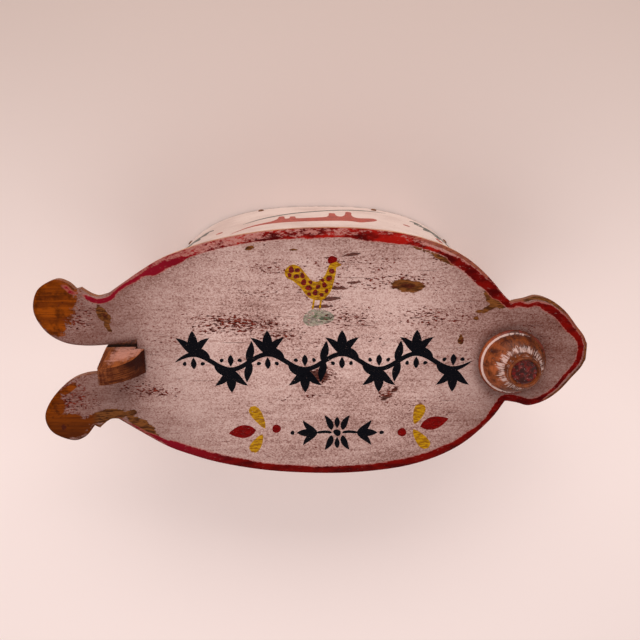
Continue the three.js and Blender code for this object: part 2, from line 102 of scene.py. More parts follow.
def srgb(red, green, blue):
    """the linear colour of three screen values from 0 to 255"""
    def linear(value):
        share = value / 255
        return share / 12.92 if share <= 0.04045 else ((share + 0.055) / 1.055) ** 2.4
    return (linear(red), linear(green), linear(blue), 1)


# Colours
PAINT_PALE = srgb(212, 180, 172)
PAINT_MID = srgb(182, 144, 136)
PAINT_DARK = srgb(118, 80, 72)
PAINT_SPECK = srgb(232, 212, 204)
# grime on the lid's paint, also used for its painted shade and painted shadow
GRIME_AND_SHADE = srgb(88, 44, 34)
CHIP_DARK = srgb(38, 12, 8)
CHIP_BROWN = srgb(58, 15, 9)
CHIP_RED = srgb(112, 40, 27)
STAIN_BROWN = srgb(50, 18, 8)
WOOD_LIGHT = srgb(140, 64, 4)
WOOD_DARK = srgb(64, 20, 4)
WOOD_WARM = srgb(88, 34, 2)
WOOD_OLD = srgb(50, 15, 0)
OLIVE_LIGHT = srgb(114, 66, 30)
OLIVE_DARK = srgb(62, 30, 12)
BARE_LIGHT = srgb(206, 160, 112)
BARE_DARK = srgb(140, 92, 56)
RED = srgb(108, 7, 3)
RED_DEEP = srgb(66, 2, 2)
RED_BRIGHT = srgb(146, 18, 10)
RED_FLUSH = srgb(164, 86, 78)
CRIMSON = srgb(122, 12, 30)
SPOT_RED = srgb(116, 8, 3)
YELLOW = srgb(182, 133, 0)
YELLOW_DEEP = srgb(128, 80, 0)
GREEN = srgb(108, 130, 100)
GREEN_DARK = srgb(52, 72, 62)
BLACK = srgb(6, 6, 12)
WALL_PALE = srgb(230, 208, 198)
WALL_MID = srgb(208, 182, 172)
BRICK = srgb(186, 74, 52)
LINE_GREY = srgb(70, 74, 70)


class Value:
    """a number or colour that varies over a surface and can stand in a formula"""

    def __init__(self, look, socket):
        self.look = look
        self.socket = socket

    def math(self, operation, other=0.0):
        return self.look.add("Math", {0: self, 1: other}, operation=operation)

    def __add__(self, other):
        return self.math("ADD", other)

    def __mul__(self, other):
        return self.math("MULTIPLY", other)

    def __sub__(self, other):
        return self.math("SUBTRACT", other)

    def left(self):
        """what is left of 1"""
        return self.look.add("Math", {0: 1.0, 1: self}, operation="SUBTRACT")

    def most(self, other):
        return self.math("MAXIMUM", other)

    def step(self, low, high, start=0.0, end=1.0):
        """from start to end while the value goes smoothly from low to high"""
        ends = {"Value": self, "From Min": low, "From Max": high, "To Min": start, "To Max": end}
        return self.look.add("MapRange", ends, "Result", interpolation_type="SMOOTHSTEP")


class Look:
    """a material, whose nodes are written as formulas with places in millimetres"""

    def __init__(self, name, roughness=0.6, specular=0.35):
        self.material = bpy.data.materials.new(name)
        self.material.use_nodes = True
        self.tree = self.material.node_tree
        self.shader = self.tree.nodes["Principled BSDF"]
        self.shader.inputs["Roughness"].default_value = roughness
        self.shader.inputs["Specular IOR Level"].default_value = specular
        self.place = self.vector("MULTIPLY", self.add("TexCoord", {}, "Object"), [1 / MM] * 3)

    def set(self, socket, value):
        if isinstance(value, Value):
            self.tree.links.new(value.socket, socket)
        else:
            socket.default_value = value

    def add(self, kind, values, output=0, **settings):
        """an output of a new node, whose sockets take the values"""
        node = self.tree.nodes.new("ShaderNode" + kind)
        for name, setting in settings.items():
            setattr(node, name, setting)
        for key, value in values.items():
            self.set(node.inputs[key], value)
        return Value(self, node.outputs[output])

    def vector(self, operation, a, b):
        return self.add("VectorMath", {0: a, 1: b}, operation=operation)

    def noise(self, size, stretch=(1, 1, 1), detail=3, rough=0.55, shift=0, place=None, warp=0):
        """cloudy noise whose lumps are about size millimetres, longer along the axes with a large stretch"""
        at = self.vector("MULTIPLY", place or self.place, [1 / (size * part) for part in stretch])
        at = self.vector("ADD", at, (shift * 7.31, shift * 3.17, shift * 5.53))
        values = {"Vector": at, "Scale": 1, "Detail": detail, "Roughness": rough, "Distortion": warp}
        return self.add("TexNoise", values, "Fac")

    def mix(self, share, a, b):
        return self.add("Mix", {"Factor": share, "A": a, "B": b}, 2, data_type="RGBA")

    def field(self, name):
        return self.add("Attribute", {}, "Fac", attribute_name=name)

    def parts(self, place=None):
        """the x, y and z of a place"""
        return [self.add("SeparateXYZ", {0: place or self.place}, axis) for axis in range(3)]

    def finish(self, colour, height=None, depth=0.2, rough=None):
        self.set(self.shader.inputs["Base Color"], colour)
        if rough is not None:
            self.set(self.shader.inputs["Roughness"], rough)
        if height is not None:
            relief = {"Strength": 1, "Distance": depth * MM, "Height": height}
            self.set(self.shader.inputs["Normal"], self.add("Bump", relief))
        return self.material


def wood_tones(look, along, light, dark, fineness=1.0, shift=0):
    """colour and relief of planed wood whose grain runs along one axis"""
    def stretch(long):
        return [long if axis == along else 1 for axis in "xyz"]
    band = look.noise(2.6 / fineness, stretch(22), 5, 0.6, shift, warp=0.4)
    fibre = look.noise(0.5 / fineness, stretch(22), 3, 0.6, shift + 1)
    cloud = look.noise(24, shift=shift + 2)
    colour = look.mix((band + fibre * 0.55 + cloud * 0.5).step(0.82, 1.28), dark, light)
    pores = look.noise(0.32, stretch(14), 2, shift=shift + 3).step(0.6, 0.74)
    pore_colour = tuple(0.35 * part for part in dark[:3]) + (1,)
    colour = look.mix(pores * 0.5, colour, pore_colour)
    return colour, fibre * 0.8 + pores * -0.6 + band * 0.4


def board_wood(look):
    """the lid's bare board, darkened by age and darker towards the lower prong, and olive where the prongs
    end
    """
    wood, relief = wood_tones(look, "x", WOOD_LIGHT, WOOD_WARM)
    x, y, _ = look.parts()
    patina = look.noise(6, detail=5, rough=0.65, shift=17).step(0.42, 0.68, 0, 0.75)
    # the wood is also darker towards the lower prong, below y -26
    wood = look.mix(patina.most(y.step(-26, -42, 0, 0.6)), wood, WOOD_OLD)
    olive = look.noise(1.0, (5, 1, 1), 4, 0.65, 18).step(0.4, 0.6)
    olive = look.mix(olive, OLIVE_DARK, OLIVE_LIGHT)
    return look.mix(x.step(-134, -128), wood, olive), relief


def aged_ground(look):
    """colour and relief of the lid's dusty paint, with grains, long streaks, chips, cracks and bare wood"""
    grain = look.noise(0.75, (1.3, 1, 1), 4, 0.7)
    speck = look.noise(0.42, detail=2, shift=4)
    streak = look.noise(1.5, (16, 1, 1), 4, 0.6, 2)
    cloud = look.noise(17, (2, 1, 1), 4, 0.6, 3)
    broad = look.noise(70, detail=2, shift=5)
    tone = grain + streak * 0.25 + cloud * 0.28 + broad * 0.35
    colour = look.mix(tone.step(0.755, 0.955), PAINT_DARK, PAINT_MID)
    colour = look.mix(tone.step(0.895, 1.115), colour, PAINT_PALE)
    colour = look.mix(speck.step(0.6, 0.72, 0, 0.75), colour, PAINT_SPECK)
    colour = look.mix(look.noise(0.5, detail=2, shift=9).step(0.6, 0.75, 0, 0.7), colour, PAINT_DARK)
    # grime, with painted shade towards the lid's ends and a painted shadow round the knob
    colour = look.mix(look.field("grime") * cloud.step(0.2, 0.7, 1.0, 0.75), colour, GRIME_AND_SHADE)

    chips = look.field("chips")
    flakes = look.noise(1.15, (1.9, 0.8, 1), 4, 0.62, 6)
    gather = look.noise(6, (2, 1, 1), 3, 0.6, 16)
    level = flakes + chips * 0.2 + gather * 0.25
    chipped = level.step(0.85, 0.87)
    inside_chips = look.mix(look.noise(0.9, (3, 1, 1), shift=7).step(0.42, 0.6), CHIP_BROWN, CHIP_RED)
    colour = look.mix(level.step(0.81, 0.855, 0, 0.6), colour, CHIP_RED)
    colour = look.mix(chipped, colour, inside_chips)

    crack = look.noise(1.1, (24, 0.7, 1), 3, 0.65, 8)
    cracked = (crack + chips * 0.07).step(0.70, 0.74, 0, 0.8)
    colour = look.mix(cracked, colour, CHIP_BROWN)

    wood, wood_relief = board_wood(look)
    ragged = look.noise(3.2, (1.6, 1, 1), 5, 0.7, 10)
    bare = (look.field("bare") + ragged * 0.9).step(0.93, 1.03)
    colour = look.mix(bare, colour, wood)
    knots = look.noise(1.6, (3, 1, 1), 4, 0.7, 11)
    stained = (look.field("stain") + knots * 0.8).step(0.84, 0.98)
    colour = look.mix(stained * 0.9, colour, look.mix(0.6, inside_chips, STAIN_BROWN))

    solid_paint = chipped.most(bare).left()
    relief = solid_paint * 0.7 + grain * 0.5 + streak * 0.3 + cracked * -0.5 + wood_relief * 0.12
    return colour, relief, solid_paint


def over_paint(look, ground, relief, light, dark, wear, share=1.0, shift=20, specks=0.45):
    """an ornament's paint over the ground, brushed and worn"""
    brushed = look.noise(1.1, (3, 1, 1), 4, 0.65, shift)
    colour = look.mix(brushed.step(0.38, 0.62), dark, light)
    worn = look.noise(1.3, (1.8, 1, 1), 5, 0.75, shift + 1)
    grains = look.noise(0.45, detail=2, shift=shift + 2)
    kept = worn.step(wear, wear + 0.06, 1, 0) * share * grains.step(0.62, 0.74, 1, specks)
    return look.mix(kept, ground, colour), relief + kept * 0.35


def lid_ground_look():
    """the lid's ground with its red edge, which is crimson beside the prongs, painted brighter along the top
    as a highlight, and worn away in places
    """
    look = Look("lid_paint", 0.6, 0.03)
    colour, relief, solid_paint = aged_ground(look)
    trim = look.field("trim")
    ragged = look.noise(1.5, (2.2, 1, 1), 5, 0.75, 12)
    long_wear = look.noise(6, (2, 1, 1), 3, 0.6, 13)
    level = trim + ragged * 0.95 + long_wear * 0.35
    kept = level.step(1.12, 1.24)
    x, y, _ = look.parts()
    # painted highlight: the red edge is brighter along the lid's top side
    red_lit_top = look.mix(y.step(56, 66), RED, RED_BRIGHT)
    red = look.mix(look.noise(5, (2, 1, 1), 4, shift=14).step(0.3, 0.62), RED_DEEP, red_lit_top)
    red = look.mix(x.step(-96, -40, 0.85, 0), red, CRIMSON)
    dusty = look.noise(1.1, (2.4, 1, 1), 4, 0.75, 15).step(0.6, 0.76, 0, 0.4)
    red = look.mix(dusty, red, PAINT_MID)
    colour = look.mix(trim.step(0.25, 0.5, 0, 0.6) * level.step(0.7, 1.1), colour, RED_FLUSH)
    colour = look.mix(kept, colour, red)
    return look.finish(colour, relief + kept * 0.3, 0.16, solid_paint.step(0, 1, 0.42, 0.66))


def ornament_look(name, light, dark, wear, share=1.0, specks=0.7):
    """worn paint over the lid's ground"""
    look = Look(name, 0.55, 0.03)
    ground, relief, _ = aged_ground(look)
    colour, relief = over_paint(look, ground, relief, light, dark, wear, share, specks=specks)
    return look.finish(colour, relief, 0.16)


def wood_look(name, along, light, dark, roughness=0.5, dirt=0.35, shift=0, fineness=1.0):
    """planed wood with some dirt in it"""
    look = Look(name, roughness)
    colour, relief = wood_tones(look, along, light, dark, fineness, shift)
    grime = look.noise(9, detail=5, rough=0.65, shift=shift + 5).step(0.5, 0.72, 0, dirt)
    colour = look.mix(grime, colour, CHIP_DARK)
    return look.finish(colour, relief, 0.12, grime.step(0, dirt, roughness, min(1, roughness + 0.2)))


def lid_side_look():
    """the lid's sawn edge: bare honey-coloured wood with remnants of red and pale paint"""
    look = Look("lid_side", 0.5, 0.2)
    colour, relief = wood_tones(look, "x", srgb(222, 158, 112), srgb(150, 88, 52), shift=3)
    old = look.noise(4, (2.5, 1, 0.6), 5, 0.7, 30).step(0.54, 0.6)
    colour = look.mix(old * 0.6, colour, PAINT_PALE)
    ends = look.parts()[0].math("ABSOLUTE").step(92, 118, 0, 0.8)
    colour = look.mix(ends, colour, look.mix(look.noise(5, (3, 1, 1), shift=33), WOOD_OLD, WOOD_LIGHT))
    colour = look.mix(look.noise(3.4, (3, 1, 0.5), 5, 0.7, 31).step(0.6, 0.66, 0, 0.8), colour, RED)
    colour = look.mix(look.noise(2.4, (4, 1, 1), 4, 0.7, 32).step(0.6, 0.72, 0, 0.7), colour, CHIP_DARK)
    return look.finish(colour, relief + old * 0.5, 0.15)


def wall_ground(look):
    """colour and relief of the band's smoother, paler paint, bare on the inside"""
    x, _, z = look.parts()
    fine = look.noise(1.1, detail=4, rough=0.6)
    cloud = look.noise(16, (1.6, 1.6, 1), 4, 0.6, 2)
    broad = look.noise(60, detail=2, shift=3)
    tone = fine * 0.35 + cloud * 0.6 + broad * 0.6
    colour = look.mix(tone.step(0.58, 0.92), WALL_MID, WALL_PALE)
    flakes = look.noise(2.2, (2.2, 2.2, 0.8), 5, 0.75, 4)
    low = z.step(0, 9, 0.07, 0)
    high = z.step(104, BAND_TOP, 0, 0.06)
    end = x.math("ABSOLUTE").step(80, 104, 0, 0.05)
    level = flakes + low + high + end
    chipped = level.step(0.70, 0.73)
    worn = look.mix(look.noise(1.5, (3, 3, 1), shift=6).step(0.4, 0.62), WOOD_DARK, BARE_DARK)
    colour = look.mix(level.step(0.66, 0.71, 0, 0.5), colour, BARE_DARK)
    colour = look.mix(chipped, colour, worn)
    line = look.noise(1.0, (12, 12, 0.8), 3, 0.6, 7)
    colour = look.mix(line.step(0.68, 0.76, 0, 0.5), colour, BARE_DARK)
    rim = z.step(1.2, 3.2).left() * look.noise(5, shift=8).step(0.4, 0.55, 0.2, 0.7)
    colour = look.mix(rim, colour, LINE_GREY)

    wood, wood_relief = wood_tones(look, "x", BARE_LIGHT, BARE_DARK, shift=5)
    colour = look.mix(look.field("outer").step(0.4, 0.6), wood, colour)
    return colour, chipped * -0.6 + fine * 0.4 + wood_relief * 0.25 + cloud * 0.5


def wall_look():
    look = Look("band_paint", 0.5)
    colour, relief = wall_ground(look)
    return look.finish(colour, relief, 0.14)


def wall_ornament_look(name, light, dark, wear, share=1.0):
    """worn paint over the band's ground"""
    look = Look(name, 0.5)
    ground, relief = wall_ground(look)
    colour, relief = over_paint(look, ground, relief, light, dark, wear, share, 40)
    return look.finish(colour, relief, 0.12)


def in_scene(name, data):
    """a new object in the scene"""
    thing = bpy.data.objects.new(name, data)
    bpy.context.scene.collection.objects.link(thing)
    return thing


def made(name, vertices, faces, materials, body, nodes=(), kinds=None, crease=40):
    """a finished piece from points in metres, with creases where faces meet at more than an angle"""
    mesh = bpy.data.meshes.new(name)
    mesh.from_pydata(vertices, [], faces)
    mesh.validate()
    for material in materials:
        mesh.materials.append(material)
    if kinds is not None:
        mesh.polygons.foreach_set("material_index", kinds)
    mesh.polygons.foreach_set("use_smooth", [True] * len(mesh.polygons))
    mesh.update()
    mesh.set_sharp_from_angle(angle=math.radians(crease))
    piece = in_scene(name, mesh)
    if body:
        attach(piece, body)
    if nodes:
        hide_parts(*nodes)
    return piece


def keep_field(piece, name, values):
    attribute = piece.data.attributes.new(name, "FLOAT", "POINT")
    attribute.data.foreach_set("value", np.asarray(values, np.float32))


def welded(node):
    """the CAD node's faces on shared points"""
    mesh = bmesh.new()
    mesh.from_mesh(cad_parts[node].data)
    bmesh.ops.remove_doubles(mesh, verts=mesh.verts, dist=2e-6)
    return mesh


def level_ring(node, level):
    """the closed outline of a node's edges that lie at one height, in millimetres"""
    mesh = welded(node)
    beside = {}
    places = {}
    for edge in mesh.edges:
        if all(abs(v.co.z - level * MM) < 3e-5 for v in edge.verts):
            for v, other in zip(edge.verts, reversed(edge.verts)):
                beside.setdefault(v.index, []).append(other.index)
                places[v.index] = Vector((v.co.x / MM, v.co.y / MM))
    mesh.free()
    order = [min(beside)]
    at = beside[order[0]][0]
    while at != order[0]:
        order.append(at)
        at = next(i for i in beside[at] if i != order[-2])
    return [places[i] for i in order]


def rounded(points, corner=26, times=2, shortest=1.1):
    """a closed outline with points added on a smooth curve, except at its corners and in short stretches"""
    for _ in range(times):
        count = len(points)
        ahead = [points[(i + 1) % count] - points[i] for i in range(count)]
        sharp = [ahead[i - 1].angle(ahead[i]) > math.radians(corner) for i in range(count)]
        result = []
        for i, p in enumerate(points):
            j = (i + 1) % count
            result.append(p)
            if ahead[i].length < shortest:
                continue
            before = p * 2 - points[j] if sharp[i] else points[i - 1]
            after = points[j] * 2 - p if sharp[j] else points[(j + 1) % count]
            result.append((p + points[j]) * 0.5625 - (before + after) * 0.0625)
        points = result
    return points


def anticlockwise(points):
    area = sum(points[i - 1].cross(points[i]) for i in range(len(points)))
    return points if area > 0 else points[::-1]


def outward(loop):
    """the direction out of an anticlockwise outline at each of its points"""
    count = len(loop)
    ahead = [loop[(i + 1) % count] - loop[i - 1] for i in range(count)]
    return [Vector((a.y, -a.x)).normalized() for a in ahead]


def distances(places, outline):
    """how far each place lies from a closed outline"""
    at = np.asarray(places, float)
    ring = np.array([tuple(p) for p in outline])
    best = np.full(len(at), 1e9)
    for start, end in zip(ring, np.roll(ring, -1, 0)):
        along = end - start
        length = max(float(along @ along), 1e-12)
        share = np.clip(((at - start) @ along) / length, 0, 1)
        gap = at - start - share[:, None] * along
        best = np.minimum(best, np.hypot(gap[:, 0], gap[:, 1]))
    return best


def inside(places, outline):
    at = np.asarray(places, float)
    ring = np.array([tuple(p) for p in outline])
    result = np.zeros(len(at), bool)
    for (x0, y0), (x1, y1) in zip(ring, np.roll(ring, -1, 0)):
        crosses = (y0 > at[:, 1]) != (y1 > at[:, 1])
        if y0 != y1:
            result ^= crosses & (at[:, 0] < (x1 - x0) * (at[:, 1] - y0) / (y1 - y0) + x0)
    return result


def triangulated(loops, inner):
    """points, upward triangles, each outline's points, and which outlines lie round each triangle"""
    points = [Vector(p) for loop in loops for p in loop] + [Vector(p) for p in inner]
    rings = []
    for loop in loops:
        first = sum(len(ring) for ring in rings)
        rings.append(list(range(first, first + len(loop))))
    flat, _, found, origins, _, sources = delaunay_2d_cdt(points, [], rings, 1, 1e-6, True)
    triangles = []
    for triangle in found:
        a, b, c = (flat[i] for i in triangle)
        triangles.append(list(triangle) if (b - a).cross(c - a) > 0 else list(triangle)[::-1])
    where = {origin: i for i, together in enumerate(origins) for origin in together}
    return flat, triangles, [[where[i] for i in ring] for ring in rings], sources


def strip(upper, lower):
    """faces between two rings of points"""
    count = len(upper)
    return [[upper[i], lower[i], lower[(i + 1) % count], upper[(i + 1) % count]] for i in range(count)]


def blobs(at, spots):
    """the strongest of several soft oval spots: x, y, half length, half width, turn in degrees, strength"""
    result = np.zeros(len(at))
    for x, y, long, wide, turn, strength in spots:
        a = math.radians(turn)
        dx = at[:, 0] - x
        dy = at[:, 1] - y
        u = (dx * math.cos(a) + dy * math.sin(a)) / long
        v = (dy * math.cos(a) - dx * math.sin(a)) / wide
        result = np.maximum(result, strength * np.exp(-0.8 * (u * u + v * v)))
    return result


# Where the lid's paint is worn to the wood: x, y, half length, half width, turn, strength
BARE_SPOTS = [
    (-151, 36, 17, 15, 0, 1.1), (-150, 21, 9, 7, -30, 0.9), (-142, 44, 9, 6, 10, 0.9),
    (-140, 24, 4, 7, 0, 0.62), (-151, -41, 17, 9, 0, 1.1), (-155, -28, 8, 14, 0, 1),
    (-145, -18, 8, 2.6, 30, 0.9), (-124, -35, 14, 4.6, 12, 1), (-110, -33, 5, 3, 0, 0.8),
    (-103, -42, 11, 4.2, -38, 1.1), (-121, 27, 3, 6, 32, 1.1), (-119, 20, 1.6, 4, 28, 1),
    (51, 43, 10.5, 4.2, -3, 1.05), (-37, 65, 3, 1.6, 10, 1), (100, 35, 8, 4, -40, 1.05),
    (97, 30, 6, 2, 30, 0.9), (92, 28, 4, 1.6, 10, 0.8), (70, 58.4, 11, 1.5, -28, 1),
    (57, 64, 6, 1, -20, 0.85), (82, 11, 1.8, 3.4, 0, 1), (90, 24, 2, 1.4, 0, 0.9), (-13, 64, 3, 0.9, 0, 0.9),
]
# Where the lid's paint is flaked into small chips
CHIP_SPOTS = [
    (-46, 21, 30, 7, -2, 1.3), (-20, 15, 20, 4, 4, 1.1), (-28, 40, 30, 9, 0, 0.6), (-26, 54, 22, 5, 0, 0.7),
    (6, 42, 16, 10, 0, 0.9), (42, 46, 32, 6, 0, 0.9), (20, 56, 34, 6, 0, 0.75), (-60, 36, 20, 9, 0, 0.3),
    (-98, -19, 18, 5, -4, 1.1), (12, 25, 22, 7, 0, 1.1), (66, 25, 26, 8, 0, 0.85), (45, 12, 30, 8, 0, 0.6),
    (84, 2, 18, 12, 0, 0.5), (-3, 9, 34, 4, 0, 0.6), (70, 56, 14, 5, -26, 0.7), (64, -28, 24, 9, 0, 0.5),
    (-8, -23, 26, 3, 8, 0.8), (-85, 12, 22, 5, 0, 0.5), (40, -22, 9, 4, 20, 1.1), (2, -11, 12, 7, 0, 1),
    (-146, -26, 16, 12, 0, 1.05), (-140, 26, 16, 10, 0, 1.05), (0, -54, 60, 7, 0, 0.3),
    (-60, -40, 30, 10, 0, 0.1), (126, 6, 12, 20, 0, 0.6), (-95, 6, 10, 18, 0, 0.5),
    (100, -16, 12, 12, 0, 0.5),
]
# Where hands have darkened the lid's paint
GRIME_SPOTS = [(-62, -34, 34, 16, 20, 0.1), (72, -6, 26, 20, 0, 0.06)]
# Dark knots in the lid's board
STAIN_SPOTS = [
    (1.4, -10.3, 5.4, 3.8, 0, 1.2), (-6, -8.5, 7, 3.4, -12, 0.72), (52, 43, 6.5, 2.4, 0, 0.66),
    (48, 42.6, 12, 0.9, 0, 0.7), (40, -24, 4.6, 2, 28, 0.85), (45, -19, 3.6, 1.6, 40, 0.8),
    (83, 11, 1.6, 2.4, 0, 0.7), (19, 61, 6, 0.9, 6, 1), (7.4, 35.8, 5.8, 1, 3, 1.3),
    (3, 31.4, 6.6, 0.9, 3, 1.2), (4.4, 24.2, 3.8, 1, 0, 1.2), (12, 42, 7, 0.9, 0, 1), (20, 45, 4, 0.9, 3, 1),
    (-120, 26, 2.4, 5, 32, 0.6), (-150, -42, 2.2, 2.4, 0, 0.8), (-144, 34, 8, 0.8, 40, 0.6),
]
# The painted edge at places round the lid: x, y, how far in the red line's middle lies, its half width,
# its strength, the strength of the mottled red outside it, and how far the edge itself is worn to the wood
TRIM_PLACES = [
    (-160, 36, 2, 1, 0, 0, 0.2), (-145, 50, 2, 1, 0, 0, 0.3), (-140, 12, 2, 1, 0, 0.1, 0.35),
    (-138, 44, 2.4, 1.8, 0.6, 0.2, 0.3), (-131, 42, 1.6, 1.2, 0.3, 0.1, 0.2),
    (-126, 39, 2.2, 1.5, 0.95, 0.3, 0.3), (-118, 36, 2.8, 1.6, 0.9, 0.3, 0.3),
    (-108, 40, 1.6, 1.3, 0.75, 0.45, 0.1), (-98, 46, 2.4, 1.6, 0.7, 0.45, 0.1),
    (-88, 53, 4.2, 2.8, 0.95, 0.5, 0.1), (-80, 57, 4.4, 2.2, 0.85, 0.5, 0.1),
    (-68, 62, 4.2, 1, 0.6, 0.46, 0.2), (-45, 69, 4.3, 0.8, 0.6, 0.5, 0.25),
    (-15, 73, 4.6, 0.9, 0.64, 0.54, 0.2), (0, 74, 4.8, 1.1, 0.78, 0.56, 0.15),
    (15, 74, 4.6, 0.9, 0.7, 0.54, 0.2), (30, 73, 4, 2.6, 0.85, 0.6, 0.2),
    (42, 71, 3.8, 2.6, 0.95, 0.6, 0.25), (54, 67, 4.2, 1.4, 0.7, 0.5, 0.8), (68, 61, 4, 1.5, 0.72, 0.4, 1.1),
    (78, 54, 4.8, 2.6, 0.95, 0.4, 1.1), (88, 46, 4.6, 3, 1.1, 0.4, 0.9), (97, 37, 3.4, 3, 1.15, 0.6, 0.5),
    (102, 32, 2.2, 2.2, 0.9, 0.5, 0.3), (112, 32, 2, 1.8, 0.7, 0.4, 0.5), (122, 32, 4, 1.5, 0.8, 0.2, 1),
    (130, 26, 4.6, 2.4, 1.1, 0.3, 0.9), (138, 18, 4.2, 2.6, 1.1, 0.4, 0.8), (144, 9, 3.4, 2, 1.1, 0.4, 0.8),
    (148, 0, 4.4, 1.8, 1, 0.3, 1), (143, -9, 4.4, 1.3, 0.95, 0.3, 1), (134, -20, 3.6, 1.2, 0.85, 0.3, 1.1),
    (126, -26, 2.6, 2.2, 0.95, 0.6, 0.8), (114, -28, 2.4, 2.6, 1.05, 0.8, 0.3),
    (103, -29, 2.2, 2.6, 1.05, 0.8, 0.2), (94, -37, 2.2, 1.5, 0.9, 0.5, 0.7),
    (84, -47, 2.8, 2.2, 1, 0.6, 0.8), (70, -57, 3, 2.8, 1.05, 0.7, 0.85),
    (50, -65, 2.8, 3.2, 1.05, 0.8, 0.7), (30, -70, 2.4, 3.2, 1, 0.9, 0.4),
    (0, -73, 2.2, 3.4, 0.95, 0.85, 0.4), (-30, -71, 2.4, 3.4, 0.95, 0.8, 0.5),
    (-50, -66, 2.8, 3.6, 0.95, 0.85, 0.5), (-68, -60, 3, 3.6, 0.95, 0.8, 0.5),
    (-82, -53, 3, 3.2, 1.05, 0.8, 0.3), (-92, -47, 2.6, 1.4, 0.8, 0.5, 0.4),
    (-102, -41, 1.6, 1.2, 0.6, 0.4, 0.4), (-114, -34, 1.2, 1, 0.45, 0.3, 0.5),
    (-125, -38, 1, 1, 0, 0.1, 0.6), (-140, -50, 1, 1, 0, 0, 0.5), (-160, -33, 1, 1, 0, 0, 0.5),
    (-140, -10, 1, 1, 0, 0.05, 0.4), (-110, 0, 1, 1, 0, 0, 0.1),
]


def lid_fields(at, edge):
    """the lid's wear, its grime with painted shade and painted shadow, and its red edge at places in
    millimetres
    """
    weights = np.zeros(len(at))
    sums = np.zeros((len(at), 5))
    for x, y, *facts in TRIM_PLACES:
        weight = 1 / (np.hypot(at[:, 0] - x, at[:, 1] - y) + 1.5) ** 4
        weights += weight
        sums += weight[:, None] * np.array(facts)
    middle, half, strength, mottled, worn = (sums / weights[:, None]).T
    trim = strength * np.exp(-np.abs((edge - middle) / half) ** 3)
    trim = np.where(edge < middle, np.maximum(trim, mottled), trim)
    # ends paints shade that darkens the lid towards its two ends, and the ring round the knob's flange is a
    # painted shadow; the grime field also darkens near the edge, towards both long sides and at the spots
    # where hands hold the lid
    ends = np.hypot(np.maximum(np.abs(at[:, 0] + 2) - 50, 0) / 100, at[:, 1] / 400)
    round_knob = np.hypot(at[:, 0] - KNOB_X, at[:, 1] - KNOB_Y)
    painted_shadow = 0.4 * np.exp(-((round_knob - 20) / 3.5) ** 2)
    handled = blobs(at, GRIME_SPOTS) + 0.08 * np.clip(np.abs(at[:, 1]) / 60, 0, 1)
    return {
        "grime": np.clip(ends + 0.2 * np.exp(-edge / 16) + painted_shadow + handled, 0, 0.85),
        "trim": trim,
        "chips": blobs(at, CHIP_SPOTS) + 0.28 * np.exp(-edge / 5),
        "bare": np.maximum(blobs(at, BARE_SPOTS), 1.35 * worn * np.exp(-(edge / 1.7) ** 2)),
        "stain": blobs(at, STAIN_SPOTS),
    }


def pointed(t, blunt):
    """the swell of a stroke that is pointed at both ends, along its length from 0 to 1"""
    return math.sin(math.pi * t ** blunt) ** 0.85


def drop(t, _):
    """the swell of a stroke that starts as a point and ends round"""
    return 1.42 * t ** 0.6 * math.sqrt(1 - t ** 4)


def leaf(x, y, turn, length, width, bend=0.0, blunt=0.75, steps=9, swell=pointed):
    """a comma stroke: starts at x, y, runs along turn, and swings sideways by bend times its length"""
    a = math.radians(turn)
    forward = Vector((math.cos(a), math.sin(a)))
    aside = Vector((-forward.y, forward.x))
    sides = ([], [])
    for i in range(steps + 1):
        t = i / steps
        centre = Vector((x, y)) + forward * (length * t) + aside * (bend * length * t * t)
        slope = Vector((1, 2 * bend * t)).normalized()
        across = forward * -slope.y + aside * slope.x
        half = 0.5 * width * swell(t, blunt) if 0 < t < 1 else 0
        sides[0].append(centre + across * half)
        sides[1].append(centre - across * half)
    return sides[1] + sides[0][-2:0:-1]


def curve_through(points, steps=6, closed=False):
    """points on a smooth curve through the given ones"""
    count = len(points)
    at = [Vector(p) for p in points]
    result = []
    for i in range(count if closed else count - 1):
        if closed:
            a, b, c, d = (at[(i + k) % count] for k in range(-1, 3))
        else:
            b, c = at[i], at[i + 1]
            a = at[i - 1] if i else b * 2 - c
            d = at[i + 2] if i + 2 < count else c * 2 - b
        for k in range(steps):
            t = k / steps
            result.append(0.5 * ((2 * b) + (c - a) * t + (2 * a - 5 * b + 4 * c - d) * t * t
                                 + (3 * b - a - 3 * c + d) * t ** 3))
    if not closed:
        result.append(at[-1])
    return result


def stroke(points, width, steps=6, tip=0.15):
    """a brush line through points, pointed at both ends"""
    line = curve_through(points, steps)
    count = len(line)
    left = []
    right = []
    for i, p in enumerate(line):
        ahead = line[min(i + 1, count - 1)] - line[max(i - 1, 0)]
        across = Vector((-ahead.y, ahead.x)).normalized()
        t = i / (count - 1)
        half = 0.5 * width * min(1, (min(t, 1 - t) / tip) ** 0.6) if 0 < t < 1 else 0.06
        left.append(p + across * half)
        right.append(p - across * half)
    return right + left[::-1]


def disc(x, y, radius, wobble=0.08, seed=0, steps=18, flat=1.0):
    """a dot whose outline is a little uneven"""
    result = []
    for i in range(steps):
        a = 2 * math.pi * i / steps
        r = radius * (1 + wobble * math.sin(2 * a + seed) + 0.6 * wobble * math.sin(3 * a + 2 * seed))
        result.append(Vector((x + r * math.cos(a), y + r * math.sin(a) * flat)))
    return result


